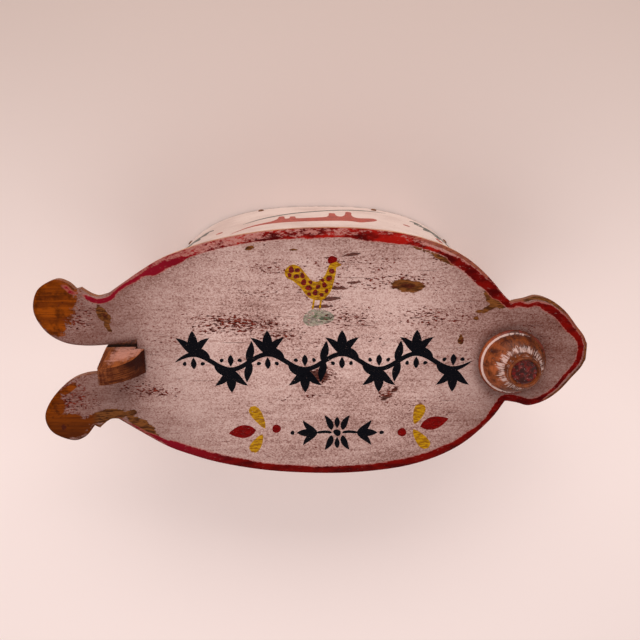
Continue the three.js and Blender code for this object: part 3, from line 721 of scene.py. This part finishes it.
# The bird on the lid: its outline through a few points, and its spots as x, y and radius
BIRD = [
    (-13.6, 55.6), (-17.6, 52.6), (-17.2, 48.4), (-13.4, 46.2), (-9.4, 42.6), (-6.2, 38.2), (-2.6, 35.6),
    (3, 35.2), (7.2, 39.2), (9.4, 45), (10.6, 50.6), (11, 53.8), (13.6, 55), (11, 57.2), (8, 57),
    (6.2, 53.4), (4.2, 49), (0.8, 46), (-3, 46.6), (-6.4, 50.6), (-9.4, 54.2),
]
BIRD_SPOTS = [
    (-14.2, 52.6, 1.7), (-15.2, 49.6, 1.2), (-10.8, 52.4, 1.3), (-11.4, 48.8, 1.5), (-8, 49.2, 1.4),
    (-7.4, 45.4, 1.7), (-4.6, 42.2, 1.7), (-3.6, 45.4, 1.1), (-1, 39.4, 1.6), (-4.4, 38.6, 1.1),
    (0.6, 42.8, 1.3), (2.6, 38.2, 1.2), (4.2, 43.8, 1.5), (5.4, 40.4, 1.2), (6.8, 47.6, 1.6),
    (8.4, 51.8, 1.5), (3.2, 46.6, 1),
]
# The vine between two ends on the lid: how many waves it has, how high they are, and its middle line
VINE_START = -82
VINE_END = 89
VINE_WAVES = 4
VINE_HEIGHT = 4.6
VINE_MIDDLE = -1.6
VINE_STEPS = 40
# The middle of the small mirrored sprig
SPRIG_X = 11.4
SPRIG_Y = -46.2


def tulip(x, y, turn, size):
    """a three-petalled flower that opens along turn"""
    shapes = [leaf(x, y, turn, 1.3 * size, 0.5 * size, 0.0, 1.0)]
    for side in (-1, 1):
        shapes.append(leaf(x, y, turn + 20 * side, 1.15 * size, 0.4 * size, 0.42 * side, 0.8))
    return shapes


def vine():
    """a waving stem with a flower in each bend, a pair of leaves at each crossing and dots between"""
    shapes = []
    length = VINE_END - VINE_START

    def height(x):
        share = (x - VINE_START) / length
        return VINE_MIDDLE + VINE_HEIGHT * math.sin(2 * math.pi * VINE_WAVES * share)

    stem = [VINE_START + length * i / VINE_STEPS for i in range(VINE_STEPS + 1)]
    shapes.append(stroke([(x, height(x)) for x in stem], 2.8, 3, 0.05))
    bends = 2 * VINE_WAVES
    for k in range(bends):
        x = VINE_START + length * (k + 0.5) / bends
        side = 1 if k % 2 == 0 else -1
        shapes += tulip(x, height(x) - 0.4 * side, 90 * side, 11.4)
        for up in (-1, 1):
            shapes.append(disc(x + 5.2 * up, height(x) - 5.6 * side, 1.2, 0.1, k + up))
        shapes.append(leaf(x, height(x) - 1.6 * side, -90 * side, 7.4, 3.4, 0.0, 1.2))
    for k in range(1, bends):
        x = VINE_START + length * k / bends
        lean = 30 if k % 2 else -30
        shapes.append(leaf(x - 1.4, height(x) + 0.6, 90 + lean, 12, 4.6, 0.28, 0.8))
        shapes.append(leaf(x + 1.4, height(x) - 0.6, -90 + lean, 12, 4.6, 0.28, 0.8))
    return shapes


def sprig():
    """a small mirrored ornament: two flowers on curved stems on either side of a lozenge"""
    shapes = []
    x, y = SPRIG_X, SPRIG_Y
    for side in (-1, 1):
        facing = 0 if side > 0 else 180
        shapes += tulip(x + 11.5 * side, y, facing, 9.6)
        shapes.append(stroke([(x + 3 * side, y), (x + 7 * side, y + 0.6), (x + 12.4 * side, y)], 1.8, 5))
        for up in (-1, 1):
            shapes.append(leaf(x + 3.4 * side, y + 1.6 * up, 90 * up, 9.6, 3.8, -0.42 * up * side, 0.8))
        shapes.append(disc(x + side * 26.4, y, 1.3, 0.1, side))
    for up in (-1, 1):
        shapes.append(leaf(x, y + 2.6 * up, 90 * up, 7.6, 3.2, 0.0, 1.2))
    shapes.append(disc(x, y, 2.2, 0.1, 3))
    return shapes


def petal(x, y, turn, length, width, bend):
    return leaf(x, y, turn, length, width, bend, 1, 14, drop)


def bud(x, y, turn, length, width):
    return leaf(x, y, turn, length, width, 0.02, 0.86)


def petals():
    """the sprigs on either side of the small ornament: a red pointed bud, two yellow petals and a red dot"""
    return [
        ("red", bud(-36.4, -44.4, 186, 16.5, 8.4)),
        ("yellow", petal(-31.2, -43.4, 114, 16.2, 6.6, 0.1)),
        ("yellow", petal(-32.8, -47.0, -116, 13.4, 6.4, -0.08)),
        ("red", disc(-24.4, -43.5, 2.5, 0.05, 1, 18, 1.14)),
        ("red", bud(60.4, -42.6, 16, 17.5, 8.2)),
        ("yellow", petal(57.0, -41.0, 70, 13.6, 6.8, 0.06)),
        ("yellow", petal(56.4, -44.2, -56, 15.4, 7.0, 0.06)),
        ("red", disc(49.8, -46.1, 2.5, 0.05, 2, 18, 1.14)),
    ]


def lid_ornaments():
    """what is painted on the lid, later ones over earlier ones"""
    shapes = [("green", disc(0.4, 24.8, 8.0, 0.12, 1, 22, 0.68))]
    shapes.append(("yellow", curve_through(BIRD, 4, True)))
    shapes += [("yellow", stroke([(x, 37), (x - 0.6, 33), (x - 1.2, 29.6)], 1.1, 4)) for x in (-1.4, 2.6)]
    shapes += [("spots", disc(x, y, r, 0.12, x)) for x, y, r in BIRD_SPOTS]
    shapes.append(("red", disc(8.6, 58.2, 2.4, 0.14, 1)))
    shapes += petals()
    shapes += [("black", shape) for shape in vine() + sprig()]
    return shapes


def bevel(x, edge):
    """how far the lid's top has fallen at a distance from its edge"""
    share = np.clip((x - PRONG_BODY) / (PRONG_ROOT - PRONG_BODY), 0, 1)
    share = share * share * (3 - 2 * share)
    width = PRONG_BEVEL_WIDTH + (BEVEL_WIDTH - PRONG_BEVEL_WIDTH) * share
    drop = PRONG_BEVEL_DROP + (BEVEL_DROP - PRONG_BEVEL_DROP) * share
    return drop * (1 - np.clip(edge / width, 0, 1)) ** 1.7


def lid_rows(outline, hole):
    """points inside the lid in rows, each moved a little at random"""
    rng = random.Random(4)

    def shifted(value):
        return value + rng.uniform(-ROW_SHIFT, ROW_SHIFT) * ROW_SPACING

    xs = [p.x for p in outline]
    ys = [p.y for p in outline]
    rows = []
    for number, y in enumerate(np.arange(min(ys), max(ys), 0.87 * ROW_SPACING)):
        start = min(xs) + number % 2 * ROW_SPACING / 2
        rows += [(shifted(x), shifted(y)) for x in np.arange(start, max(xs), ROW_SPACING)]
    rows = np.array(rows)
    rows = rows[inside(rows, outline)]
    return rows[(distances(rows, outline) > ROWS_FROM_EDGE) & ~inside(rows, hole)]


def lid_rings(outline):
    """points beside the lid's edge, on rings that follow it"""
    rings = []
    for depth in RING_DEPTHS:
        last = outline[0]
        for corner, out in zip(outline, outward(outline)):
            p = corner - out * depth
            if (p - last).length > RING_SPACING:
                rings.append((p.x, p.y, depth))
                last = p
    rings = np.array(rings)
    clear = np.abs(distances(rings[:, :2], outline) - rings[:, 2]) < 0.05
    return rings[inside(rings, outline) & clear, :2]


def lid_side_ring(loop, z, inset=0.0):
    """a level ring of the lid's side, moved in a little and unevenly"""
    ring = []
    for p, out in zip(loop, outward(loop)):
        uneven = 0.12 + 0.12 * noise.noise(Vector((p.x * 0.12, p.y * 0.12, z * 0.2)))
        q = p - out * (inset + (uneven if inset else 0))
        ring.append((q.x, q.y, z))
    return ring


def lid_looks():
    """the lid's materials, by the names that its faces use"""
    return {
        "ground": lid_ground_look(),
        "side": lid_side_look(),
        "under": wood_look("lid_under", "x", BARE_LIGHT, BARE_DARK, 0.65, 0.4, 2),
        "yellow": ornament_look("lid_yellow", YELLOW, YELLOW_DEEP, 0.64, 0.98),
        "red": ornament_look("lid_red", srgb(116, 4, 2), srgb(88, 1, 1), 0.66, 1.0),
        "black": ornament_look("lid_black", BLACK, BLACK, 0.66, 1.0, 0.9),
        "green": ornament_look("lid_green", GREEN, GREEN_DARK, 0.53, 0.62),
        "spots": ornament_look("lid_spots", SPOT_RED, RED_DEEP, 0.66, 0.97),
    }


def make_lid():
    """the lid's board, whose top is cut along the outlines of what is painted on it"""
    outline = anticlockwise(rounded(level_ring("lid_board", LID_UNDERSIDE + LID_LOWER_EDGE)))
    hole = disc(KNOB_X, KNOB_Y, LID_HOLE_RADIUS, 0, 0, 32)
    figures = lid_ornaments()
    loops = [outline, hole] + [anticlockwise(shape) for _, shape in figures]
    names = ["ground", "side"] + [name for name, _ in figures]
    rows = lid_rows(outline, hole)
    flat, triangles, rings, sources = triangulated(loops, list(rows) + list(lid_rings(outline)))

    places = np.array([tuple(p) for p in flat])
    uneven = np.array([noise.noise(Vector((x * 0.03, y * 0.05, 1))) for x, y in places])
    fall = bevel(places[:, 0], distances(places, outline))
    heights = LID_TOP - fall + LID_UNEVEN * (uneven - 1)
    vertices = [(x, y, z) for (x, y), z in zip(places, heights)]
    faces = []
    kinds = []

    def add_faces(some, kind):
        faces.extend(some)
        kinds.extend([kind] * len(some))

    def add_ring(loop, above, inset=0.0):
        first = len(vertices)
        vertices.extend(lid_side_ring(loop, LID_UNDERSIDE + above, inset))
        return list(range(first, len(vertices)))

    for triangle, source in zip(triangles, sources):
        if 0 in source and 1 not in source:
            add_faces([triangle], names[max(source)])
    rim = rings[0]
    for above, inset in ((4.2, 0), (2.2, 0.05), (LID_LOWER_EDGE, 0.05), (0, LID_LOWER_EDGE)):
        lower = add_ring(outline, above, inset)
        add_faces(strip(rim, lower), "side")
        rim = lower
    bore = add_ring(hole, 0)
    add_faces(strip(bore, rings[1]), "side")

    low_outline = [vertices[i][:2] for i in rim]
    _, triangles, rings, sources = triangulated([low_outline, hole], [])
    own = dict(zip(rings[0] + rings[1], rim + bore))
    for triangle, source in zip(triangles, sources):
        if 0 in source and 1 not in source:
            add_faces([[own[i] for i in triangle[::-1]]], "under")

    looks = lid_looks()
    kinds = [list(looks).index(kind) for kind in kinds]
    points = [(x * MM, y * MM, z * MM) for x, y, z in vertices]
    lid = made("painted_lid", points, faces, looks.values(), "lid", ["lid_board"], kinds, 32)
    everywhere = np.array(vertices)[:, :2]
    for name, values in lid_fields(everywhere, distances(everywhere, outline)).items():
        keep_field(lid, name, values)


def dressed(node, looks, body, slot_name, bevel=0.0, crease=40, rounds=0, bumpy=0.0):
    """a finer copy of a CAD node in its place, with its edges eased"""
    mesh = welded(node)
    if bevel:
        bmesh.ops.dissolve_limit(mesh, angle_limit=math.radians(1.5), verts=mesh.verts, edges=mesh.edges)
    data = bpy.data.meshes.new(node + "_form")
    mesh.to_mesh(data)
    mesh.free()
    form = in_scene(node + "_form", data)
    if bevel:
        eased = form.modifiers.new("eased", "BEVEL")
        eased.width = bevel * MM
        eased.segments = 3
        eased.limit_method = "ANGLE"
        eased.angle_limit = math.radians(30)
    if rounds:
        form.modifiers.new("rounded", "SUBSURF").levels = rounds
    finer = form.evaluated_get(bpy.context.evaluated_depsgraph_get()).to_mesh()
    vertices = [v.co.copy() for v in finer.vertices]
    if bumpy:
        for v, normal in zip(vertices, [v.normal.copy() for v in finer.vertices]):
            v += normal * (bumpy * MM * noise.noise(v * 700) - 0.5 * bumpy * MM)
    faces = [list(face.vertices) for face in finer.polygons]
    bpy.data.objects.remove(form)
    return made(slot_name + "." + node, vertices, faces, looks, body, [node], None, crease)


def wall_place(band, x, z, side, out):
    """a point on the band's outside, or a little out of it"""
    share = min(abs(x) / BAND_A, 0.9999)
    y = BAND_B * (1 - share ** BAND_FULLNESS) ** (1 / BAND_FULLNESS)
    normal = Vector((math.copysign(share ** (BAND_FULLNESS - 1) / BAND_A, x),
                     side * (y / BAND_B) ** (BAND_FULLNESS - 1) / BAND_B, 0)).normalized()
    place = Vector((x, y * side, z)) * MM
    # A ray can slip between two faces, so it is tried again a little beside
    for aside in (0.011, -0.013, 0.029):
        start = place + Vector((aside, 0, aside)) * MM + normal * MM
        hit, facing, _, depth = band.ray_cast(start, -normal, 6 * MM)
        if hit and facing.dot(normal) > 0:
            place += normal * (MM - depth)
            break
    return place + normal * out * MM


def coat_points(shape):
    """points inside a painted figure, in which its coat can bend with the wall"""
    low, high = (np.array([edge(p[k] for p in shape) for k in (0, 1)]) for edge in (min, max))
    xs, zs = (np.arange(low[k] + 1.5, high[k], COAT_SPACING[k]) for k in (0, 1))
    grid = np.array([(x, z) for x in xs for z in zs]).reshape(-1, 2)
    grid = grid[inside(grid, shape)]
    return grid[distances(grid, shape) > 0.6]


def on_wall(band, name, shapes, side, look):
    """painted figures on the band, given by x and height: a thin coat that follows the wall"""
    vertices = []
    faces = []
    for shape in shapes:
        shape = anticlockwise(shape)
        flat, triangles, (rim,), _ = triangulated([shape], coat_points(shape))
        front = len(vertices)
        back = front + len(flat)
        for out in (COAT_ABOVE, -COAT_BELOW):
            vertices += [wall_place(band, p.x, p.y, side, out) for p in flat]
        centres = [tuple(sum((flat[i] for i in triangle), Vector((0, 0))) / 3) for triangle in triangles]
        for triangle, within in zip(triangles, inside(centres, shape)):
            if within:
                faces.append([front + i for i in triangle[::-side]])
                faces.append([back + i for i in triangle[::side]])
        for a, b in zip(rim[-1:] + rim, rim):
            faces.append([front + a, front + b, back + b, back + a][::side])
    coat = made(name, vertices, faces, [look], "box", (), None, 30)
    keep_field(coat, "outer", [1.0] * len(vertices))


# The four-legged animal on the wall, by x and height
ANIMAL = [
    (-52, 84), (-44, 75), (-36, 70), (-24, 67), (-8, 65.5), (6, 64), (16, 63), (22, 63.5), (27, 66),
    (31, 62.5), (36, 57), (38.5, 50), (36, 46.5), (31, 48.5), (26.5, 50), (23.4, 46), (22.4, 38), (22.6, 28),
    (19.2, 26.5), (18.2, 38), (16.4, 45.5), (13.4, 46), (12, 40), (11.4, 34), (7.8, 33.5), (7.6, 41),
    (5.4, 49), (-5, 52), (-13, 53), (-14.2, 46), (-17.4, 45.5), (-17.8, 52), (-20.6, 52), (-21.4, 44),
    (-24.6, 43.5), (-25.4, 52), (-29, 60), (-36, 65), (-43, 71),
]
# What the near wall shows beside it: the stroke under its feet, the leaf fans and the buds
NEAR_GROUND = [(-47, 55), (-34, 44), (-14, 31), (12, 20), (30, 15.5), (47, 12.5)]
NEAR_FANS = [
    (-84, 36, 22, 5, 62, 0), (-73, 33, 13, 3, 44, 0), (80, 16, 24, 5, 62, 0), (69, 13, 13, 3, 40, 14),
    (90, 16, 12, 3, 40, -10),
]
# The middles of the two flowers on the far wall
FAR_FLOWERS = (-68, 62)


def fan(x, z, size, count, spread, lean=0):
    """leaves that fan out upwards from one point"""
    shapes = []
    for i in range(count):
        share = (i / (count - 1) - 0.5) * 2
        long = size * (1 - 0.3 * share * share)
        shapes.append(leaf(x, z, 90 + lean + share * spread, long, 0.26 * long, -0.2 * share, 0.8, 7))
    return shapes


def paint_near_wall(band, brick, dark, green):
    on_wall(band, "wall_animal", [curve_through(ANIMAL, 3, True)], 1, brick)
    on_wall(band, "wall_ground", [stroke(NEAR_GROUND, 2.6, 6, 0.2)], 1, dark)
    on_wall(band, "wall_leaves", [shape for facts in NEAR_FANS for shape in fan(*facts)], 1, green)
    buds = [leaf(-84, 60, 84, 12, 5), leaf(80, 42, 96, 13, 5), disc(-61, 66, 2.2), disc(58, 46, 2.2)]
    on_wall(band, "wall_buds", buds, 1, brick)


def paint_far_wall(band, brick, dark, green, gold):
    leaves = []
    flowers = []
    dots = []
    ground = []
    for x in FAR_FLOWERS:
        leaves += fan(x, 14, 26, 5, 68)
        leaves.append(stroke([(x, 14), (x + 1.5, 40), (x, 66)], 2.2, 6, 0.1))
        leaves += [leaf(x, 40, 40, 20, 6, 0.25), leaf(x, 40, 140, 20, 6, -0.25)]
        flowers += tulip(x, 64, 90, 20)
        dots += [disc(x - 17, 64, 2.6), disc(x + 17, 64, 2.6), disc(x - 10, 84, 2.0), disc(x + 10, 84, 2.0)]
    for line in ([(-94, 14), (-68, 12), (-42, 15)], [(38, 15), (64, 12), (90, 14)]):
        ground.append(stroke(line, 2.4, 6, 0.2))
    on_wall(band, "far_leaves", leaves, -1, green)
    on_wall(band, "far_flowers", flowers, -1, brick)
    on_wall(band, "far_dots", dots, -1, gold)
    on_wall(band, "far_ground", ground, -1, dark)


def make_band():
    """the side band, painted outside only, and the figures on it"""
    piece = dressed("side_band", [wall_look()], "box", "painted_band", 0, 30)
    outside = np.zeros(len(piece.data.vertices))
    for face in piece.data.polygons:
        facing = face.normal.x * face.center.x / BAND_A ** 2 + face.normal.y * face.center.y / BAND_B ** 2
        outside[list(face.vertices)] += math.copysign(face.area, facing) if abs(face.normal.z) < 0.5 else 0
    keep_field(piece, "outer", outside > 0)
    faces = [list(face.vertices) for face in piece.data.polygons]
    band = BVHTree.FromPolygons([v.co for v in piece.data.vertices], faces)
    brick = wall_ornament_look("wall_brick", BRICK, srgb(150, 50, 36), 0.64)
    dark = wall_ornament_look("wall_line", LINE_GREY, GREEN_DARK, 0.62, 0.9)
    green = wall_ornament_look("wall_green", GREEN_DARK, srgb(36, 56, 46), 0.6, 0.9)
    gold = wall_ornament_look("wall_yellow", YELLOW, YELLOW_DEEP, 0.6, 0.9)
    paint_near_wall(band, brick, dark, green)
    paint_far_wall(band, brick, dark, green, gold)


def knob_look():
    """turned wood, waxed brown, with a painted highlight on its left and brushed remnants of white and red
    paint round its axis
    """
    look = Look("knob_wood", 0.45, 0.2)
    centred = look.vector("SUBTRACT", look.place, (KNOB_X, KNOB_Y + KNOB_SHIFT_Y, LID_TOP))
    x, y, height = look.parts(centred)
    x = x - height.step(KNOB_LEAN_FROM, KNOB_LEAN_TO, KNOB_SHIFT_X, KNOB_SHIFT_X + KNOB_LEAN)
    radius = (x * x + y * y).math("SQRT")
    around = radius.most(0.5)
    join = {0: x.math("DIVIDE", around), 1: y.math("DIVIDE", around), 2: radius * 0.012}
    turned = look.vector("MULTIPLY", look.add("CombineXYZ", join), (14, 14, 14))

    wood, relief = wood_tones(look, "z", srgb(128, 62, 22), srgb(62, 20, 8), shift=6)
    rings = look.noise(0.8, (30, 30, 1), 3, 0.6, 7, centred)
    # painted highlight: the dome is lighter and oranger on its left side
    left_highlight = x.step(-5, -12) * look.noise(5, shift=16).step(0.35, 0.6)
    wood = look.mix(left_highlight * 0.75, wood, srgb(168, 84, 42))
    colour = look.mix(rings.step(0.5, 0.66, 0, 0.6), wood, srgb(56, 16, 8))

    radial = look.noise(0.62, (1, 1, 1), 3, 0.65, 8, turned)
    cloud = look.noise(4, detail=4, rough=0.7, shift=9)
    upper = radius.step(9.2, 10.4) * radius.step(11.0, 15.2, 1, 0)
    white = (radial * 1.1 + cloud * 0.7 + upper * 0.3).step(1.1, 1.26, 0, 0.75)
    flange = radius.step(16.6, 17.2) * height.step(3.2, 4.0) * radius.step(18.0, 18.6, 1, 0)
    ring = flange * 0.55 + look.noise(3.2, detail=4, rough=0.7, shift=10) + x * flange * -0.012
    neck = height.step(15.4, 16.2) * height.step(19.4, 20.6, 1, 0)
    neck = (neck * 0.3 + cloud * 0.9).step(0.76, 0.84, 0, 0.7)
    pale = white.most(ring.step(0.98, 1.08, 0, 0.85)).most(neck)
    colour = look.mix(pale, colour, PAINT_PALE)

    dish = radius.step(7.3, 7.0) * height.step(17, 18.6)
    kept = (dish * 0.75 + look.noise(1.2, detail=4, rough=0.7, shift=11) * 0.7).step(0.9, 1.0, 0, 0.95)
    red = look.mix(look.noise(2.6, detail=4, shift=12).step(0.4, 0.66), srgb(44, 4, 3), RED)
    colour = look.mix(kept, colour, red)
    dots = look.noise(1.1, detail=4, rough=0.75, shift=13).step(0.6, 0.68, 0, 0.35)
    colour = look.mix(dots * dish, colour, PAINT_PALE)
    hem = radius.step(17.9, 18.5) * look.noise(3, shift=14).step(0.45, 0.55)
    colour = look.mix(hem * 0.7, colour, srgb(120, 44, 32))
    dirt = look.noise(1.6, detail=5, rough=0.7, shift=15).step(0.58, 0.7, 0, 0.55)
    colour = look.mix(dirt, colour, CHIP_DARK)
    return look.finish(colour, relief * 0.6 + pale * 0.5 + rings * 0.4, 0.12)


# The knob's profile above the foot of its flange: radius and height
KNOB_PROFILE = [
    (17.6, 0), (18.6, 0.25), (19.15, 0.7), (19.3, 1.3), (19.2, 1.9), (18.8, 2.5), (18, 2.85), (17.2, 3),
    (16.85, 3.2), (16.75, 3.7), (16.75, 4.6), (16.5, 5.8), (16.1, 6.9), (15.4, 8.2), (14.4, 9.5),
    (13.2, 10.7), (12, 11.6), (10.8, 12.35), (9.9, 12.9), (9.35, 13.4), (9.05, 14), (8.95, 14.8),
    (8.9, 16.4), (9.05, 17.6), (9.1, 18.2), (9, 18.8), (8.6, 19.15), (8.2, 19.2), (7.8, 19.05), (7.45, 18.6),
    (7.25, 18), (7.05, 17.3), (6.6, 16.95), (5.4, 16.8), (3, 16.65), (0, 16.6),
]
SHANK_RADIUS = 4


def knob_point(radius, height, a, leans):
    """a point of the knob's surface, whose head leans over its straight shank"""
    worn = 1 - 0.006 * max(0, noise.noise(Vector((math.cos(a) * 1.6, math.sin(a) * 1.6, height * 0.12))))
    r = radius * (worn if radius > 5 else 1)
    x = KNOB_X + r * math.cos(a)
    y = KNOB_Y + r * math.sin(a)
    if leans:
        t = min(max((height - LID_TOP - KNOB_LEAN_FROM) / (KNOB_LEAN_TO - KNOB_LEAN_FROM), 0), 1)
        x += KNOB_SHIFT_X + KNOB_LEAN * t * t * (3 - 2 * t)
        y += KNOB_SHIFT_Y
    return (x * MM, y * MM, height * MM)


def make_knob():
    """the turned knob on its shank, which is rounded at its low end"""
    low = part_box("knob")[0].z / MM
    foot = LID_TOP + KNOB_GAP
    shank = [(0, low), (3.2, low), (3.8, low + 0.3), (SHANK_RADIUS, low + 0.9), (SHANK_RADIUS, foot)]
    profile = shank + [(radius, foot + height) for radius, height in KNOB_PROFILE]
    last = len(profile) - 1
    vertices = []
    faces = []
    rings = []
    for k, (radius, height) in enumerate(profile):
        first = len(vertices)
        for i in range(1 if k in (0, last) else KNOB_SIDES):
            vertices.append(knob_point(radius, height, 2 * math.pi * i / KNOB_SIDES, k >= len(shank)))
        rings.append(list(range(first, len(vertices))))
    for upper, lower in zip(rings[2:last], rings[1:]):
        faces += strip(upper, lower)
    for i in range(KNOB_SIDES):
        faces.append([0, rings[1][i], rings[1][i - 1]])
        faces.append([rings[last - 1][i - 1], rings[last - 1][i], rings[last][0]])
    made("turned_knob", vertices, faces, [knob_look()], "box", ["knob"], None, 50)


def latch_look():
    """the latch post's wood: a pale pink painted highlight on the head's lit side, a dark handled ramp, and
    painted shadow in the notch under the lid's top
    """
    look = Look("latch_wood", 0.55, 0.1)
    colour, relief = wood_tones(look, "z", srgb(158, 86, 42), srgb(88, 38, 16), shift=8)
    layers = look.noise(0.62, (26, 1, 26), 3, 0.6, 12).step(0.42, 0.62, 0.92, 0.35)
    colour = look.mix(look.field("ramp") * layers, colour, srgb(66, 20, 2))
    streaks = look.noise(0.9, (9, 0.8, 9), 4, 0.65, 9)
    dark = (look.field("dark") + streaks * 0.6).step(0.62, 1.1, 0, 0.9)
    colour = look.mix(dark, colour, srgb(44, 10, 4))
    # painted highlight: the head's side that faces the light is painted pale pink
    patches = look.noise(1.6, (2, 1, 2), 5, 0.75, 10)
    pale = (look.field("pale") * 0.62 + patches * 1.3).step(0.92, 1.4, 0, 0.78)
    colour = look.mix(pale, colour, srgb(208, 148, 132))
    colour = look.mix(look.noise(5, (1, 1, 2), 5, 0.7, 11).step(0.56, 0.7, 0, 0.5), colour, srgb(92, 44, 28))
    # painted shadow in the notch under the lid's top, which is also rougher
    painted_shadow = look.field("painted_shadow")
    colour = look.mix((painted_shadow + patches * 0.7).step(0.6, 1.25, 0, 0.92), colour, srgb(20, 7, 4))
    return look.finish(colour, relief, 0.14, painted_shadow.step(0.2, 0.8, 0.55, 0.95))


def sliced(piece, cuts):
    """cuts a piece's faces along planes, so that its fields can change between them"""
    mesh = bmesh.new()
    mesh.from_mesh(piece.data)
    for place, normal in cuts:
        everything = mesh.verts[:] + mesh.edges[:] + mesh.faces[:]
        bmesh.ops.bisect_plane(mesh, geom=everything, dist=1e-7, plane_co=place, plane_no=normal)
    mesh.to_mesh(piece.data)
    mesh.free()


def latch_fields(piece):
    """where the latch's head gets its painted highlight, where hands have darkened its ramp, and where
    shadow is painted in the notch under the lid
    """
    normals = np.array([v.normal for v in piece.data.vertices])
    x, y, z = (np.array([v.co for v in piece.data.vertices]) / MM).T
    head = np.clip((z - LID_TOP + 3.4) / 1.6, 0, 1)
    crest = np.array([z[np.abs(x - each) < 1.2].max() for each in x])
    side = np.clip((normals[:, 1] - 0.5) / 0.4, 0, 1)
    ramp = np.clip((normals[:, 0] - 0.15) / 0.3, 0, 1) * head
    # the notch below the lid's top, where shadow is painted
    notch = np.clip((LID_TOP - 1.8 - z) / 1.2, 0, 1) * np.clip((z - LID_TOP + 14) / 9, 0, 1)
    return {
        # painted highlight on the side of the head that faces the light
        "pale": head * side * np.clip((crest - z - 1.5) / 9, 0, 1) ** 0.7 * np.clip((x + 119) / 5, 0.3, 1),
        "ramp": ramp,
        "dark": ramp * np.clip(0.35 + (x + 106) / 10 + (y - 1) / 14, 0, 1),
        "painted_shadow": notch * np.clip(np.abs(normals[:, 1]) * 2 - 0.6, 0, 1),
    }


def make_posts():
    """the latch post, which on the real box is springy and bends from its foot, and the fixed pivot post"""
    latch = dressed("latch_post", [latch_look()], None, "post_wood", 0.7, 40)
    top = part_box("latch_post")[1].z / MM
    cuts = [(Vector((0, 0, z)) * MM, (0, 0, 1)) for z in np.arange(LID_TOP - 17.3, top, 1.7)]
    cuts += [(Vector((x, 0, 0)) * MM, (1, 0, 0)) for x in np.arange(-122.3, -96, 1.9)]
    sliced(latch, cuts)
    for name, values in latch_fields(latch).items():
        keep_field(latch, name, values)
    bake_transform(latch)
    pivot_wood = wood_look("pivot_wood", "z", srgb(166, 98, 54), srgb(96, 48, 24), 0.55, 0.5, 12)
    dressed("pivot_post", [pivot_wood], "box", "post_wood", 0.7, 40)


def leather_look():
    look = Look("washer_leather", 0.75)
    pores = look.noise(0.5, detail=4, rough=0.7)
    tone = look.mix(look.noise(4), srgb(86, 52, 32), srgb(120, 78, 50))
    return look.finish(look.mix(pores.step(0.6, 0.7, 0, 0.6), tone, CHIP_DARK), pores, 0.15)


def make_small_parts():
    """the bottom board, pegs, pin, washer and stitches"""
    board = wood_look("board_wood", "x", BARE_LIGHT, BARE_DARK, 0.68, 0.45, 14)
    peg = wood_look("peg_wood", "y", srgb(150, 96, 60), srgb(84, 48, 30), 0.6, 0.5, 15)
    root = wood_look("root", "z", srgb(190, 146, 96), srgb(118, 78, 44), 0.6, 0.5, 16, 2.0)
    for node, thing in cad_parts.items():
        if "peg" in node or node in ("knob_lock_pin", "bottom_board"):
            thing.data.materials.clear()
            thing.data.materials.append(board if node == "bottom_board" else peg)
    dressed("tilt_washer", [leather_look()], "tilting_washer", "washer_leather", 0.3, 40)
    for i in range(1, 11):
        dressed("lap_stitch_%d" % i, [root], "box", "stitch_root", 0, 60, 1, 0.25)


# The camera: its tilt from straight down and its turn in degrees, its place, and its focal length in pixels
# of a picture 640 pixels wide
CAMERA_TILT = 16.5
CAMERA_TURN = -0.3
CAMERA_PLACE = (2.3, 149.0, 548.9)
CAMERA_FOCAL = 780
PICTURE_WIDTH = 640
SENSOR_WIDTH = 36


def make_camera():
    tilt = math.radians(CAMERA_TILT)
    up = (0, math.cos(tilt), -math.sin(tilt))
    back = (0, math.sin(tilt), math.cos(tilt))
    basis = Matrix(((1, 0, 0), up, back)).transposed().to_4x4()
    data = bpy.data.cameras.new("camera")
    data.sensor_width = SENSOR_WIDTH
    data.lens = CAMERA_FOCAL / PICTURE_WIDTH * SENSOR_WIDTH
    data.clip_start = 0.01
    camera = in_scene("camera", data)
    turned = Matrix.Rotation(math.radians(CAMERA_TURN), 4, "Z") @ basis
    camera.matrix_world = Matrix.Translation(Vector(CAMERA_PLACE) * MM) @ turned
    bpy.context.scene.camera = camera


def make_light(name, place, target, size, power, colour):
    """a rectangular lamp at a place in metres, aimed at another"""
    data = bpy.data.lights.new(name, "AREA")
    data.shape = "RECTANGLE"
    data.size, data.size_y = size
    data.energy = power
    data.color = colour
    lamp = in_scene(name, data)
    lamp.location = place
    lamp.rotation_euler = (Vector(target) - Vector(place)).to_track_quat("-Z", "Y").to_euler()


def make_studio():
    """a pale floor in metres under soft, slightly warm light"""
    world = bpy.data.worlds.new("world")
    bpy.context.scene.world = world
    world.use_nodes = True
    sky = world.node_tree.nodes["Background"].inputs
    sky[0].default_value = (1, 0.95, 0.93, 1)
    sky[1].default_value = 0.42
    bpy.context.scene.view_settings.view_transform = "Standard"
    make_light("light_back", (0.05, 0.8, 0.7), (0, 0, 0.08), (0.9, 0.5), 7.5, (1, 0.96, 0.93))
    make_light("light_front", (-0.15, -0.5, 1.0), (0, 0, 0.1), (0.8, 0.8), 4.5, (1, 0.96, 0.94))
    reach = 3
    below = -0.0005
    corners = [(x * reach, y * reach, below) for x, y in ((-1, -1), (1, -1), (1, 1), (-1, 1))]
    mesh = bpy.data.meshes.new("floor")
    mesh.from_pydata(corners, [], [(0, 1, 2, 3)])
    look = Look("floor", 0.8, 0.1)
    # painted shade: the floor is painted darker towards the back
    shade = look.parts()[1].step(-160, 320)
    mesh.materials.append(look.finish(look.mix(shade, srgb(252, 234, 230), srgb(188, 168, 160))))
    in_scene("floor", mesh)


make_camera()
make_studio()
make_lid()
make_band()
make_knob()
make_posts()
make_small_parts()
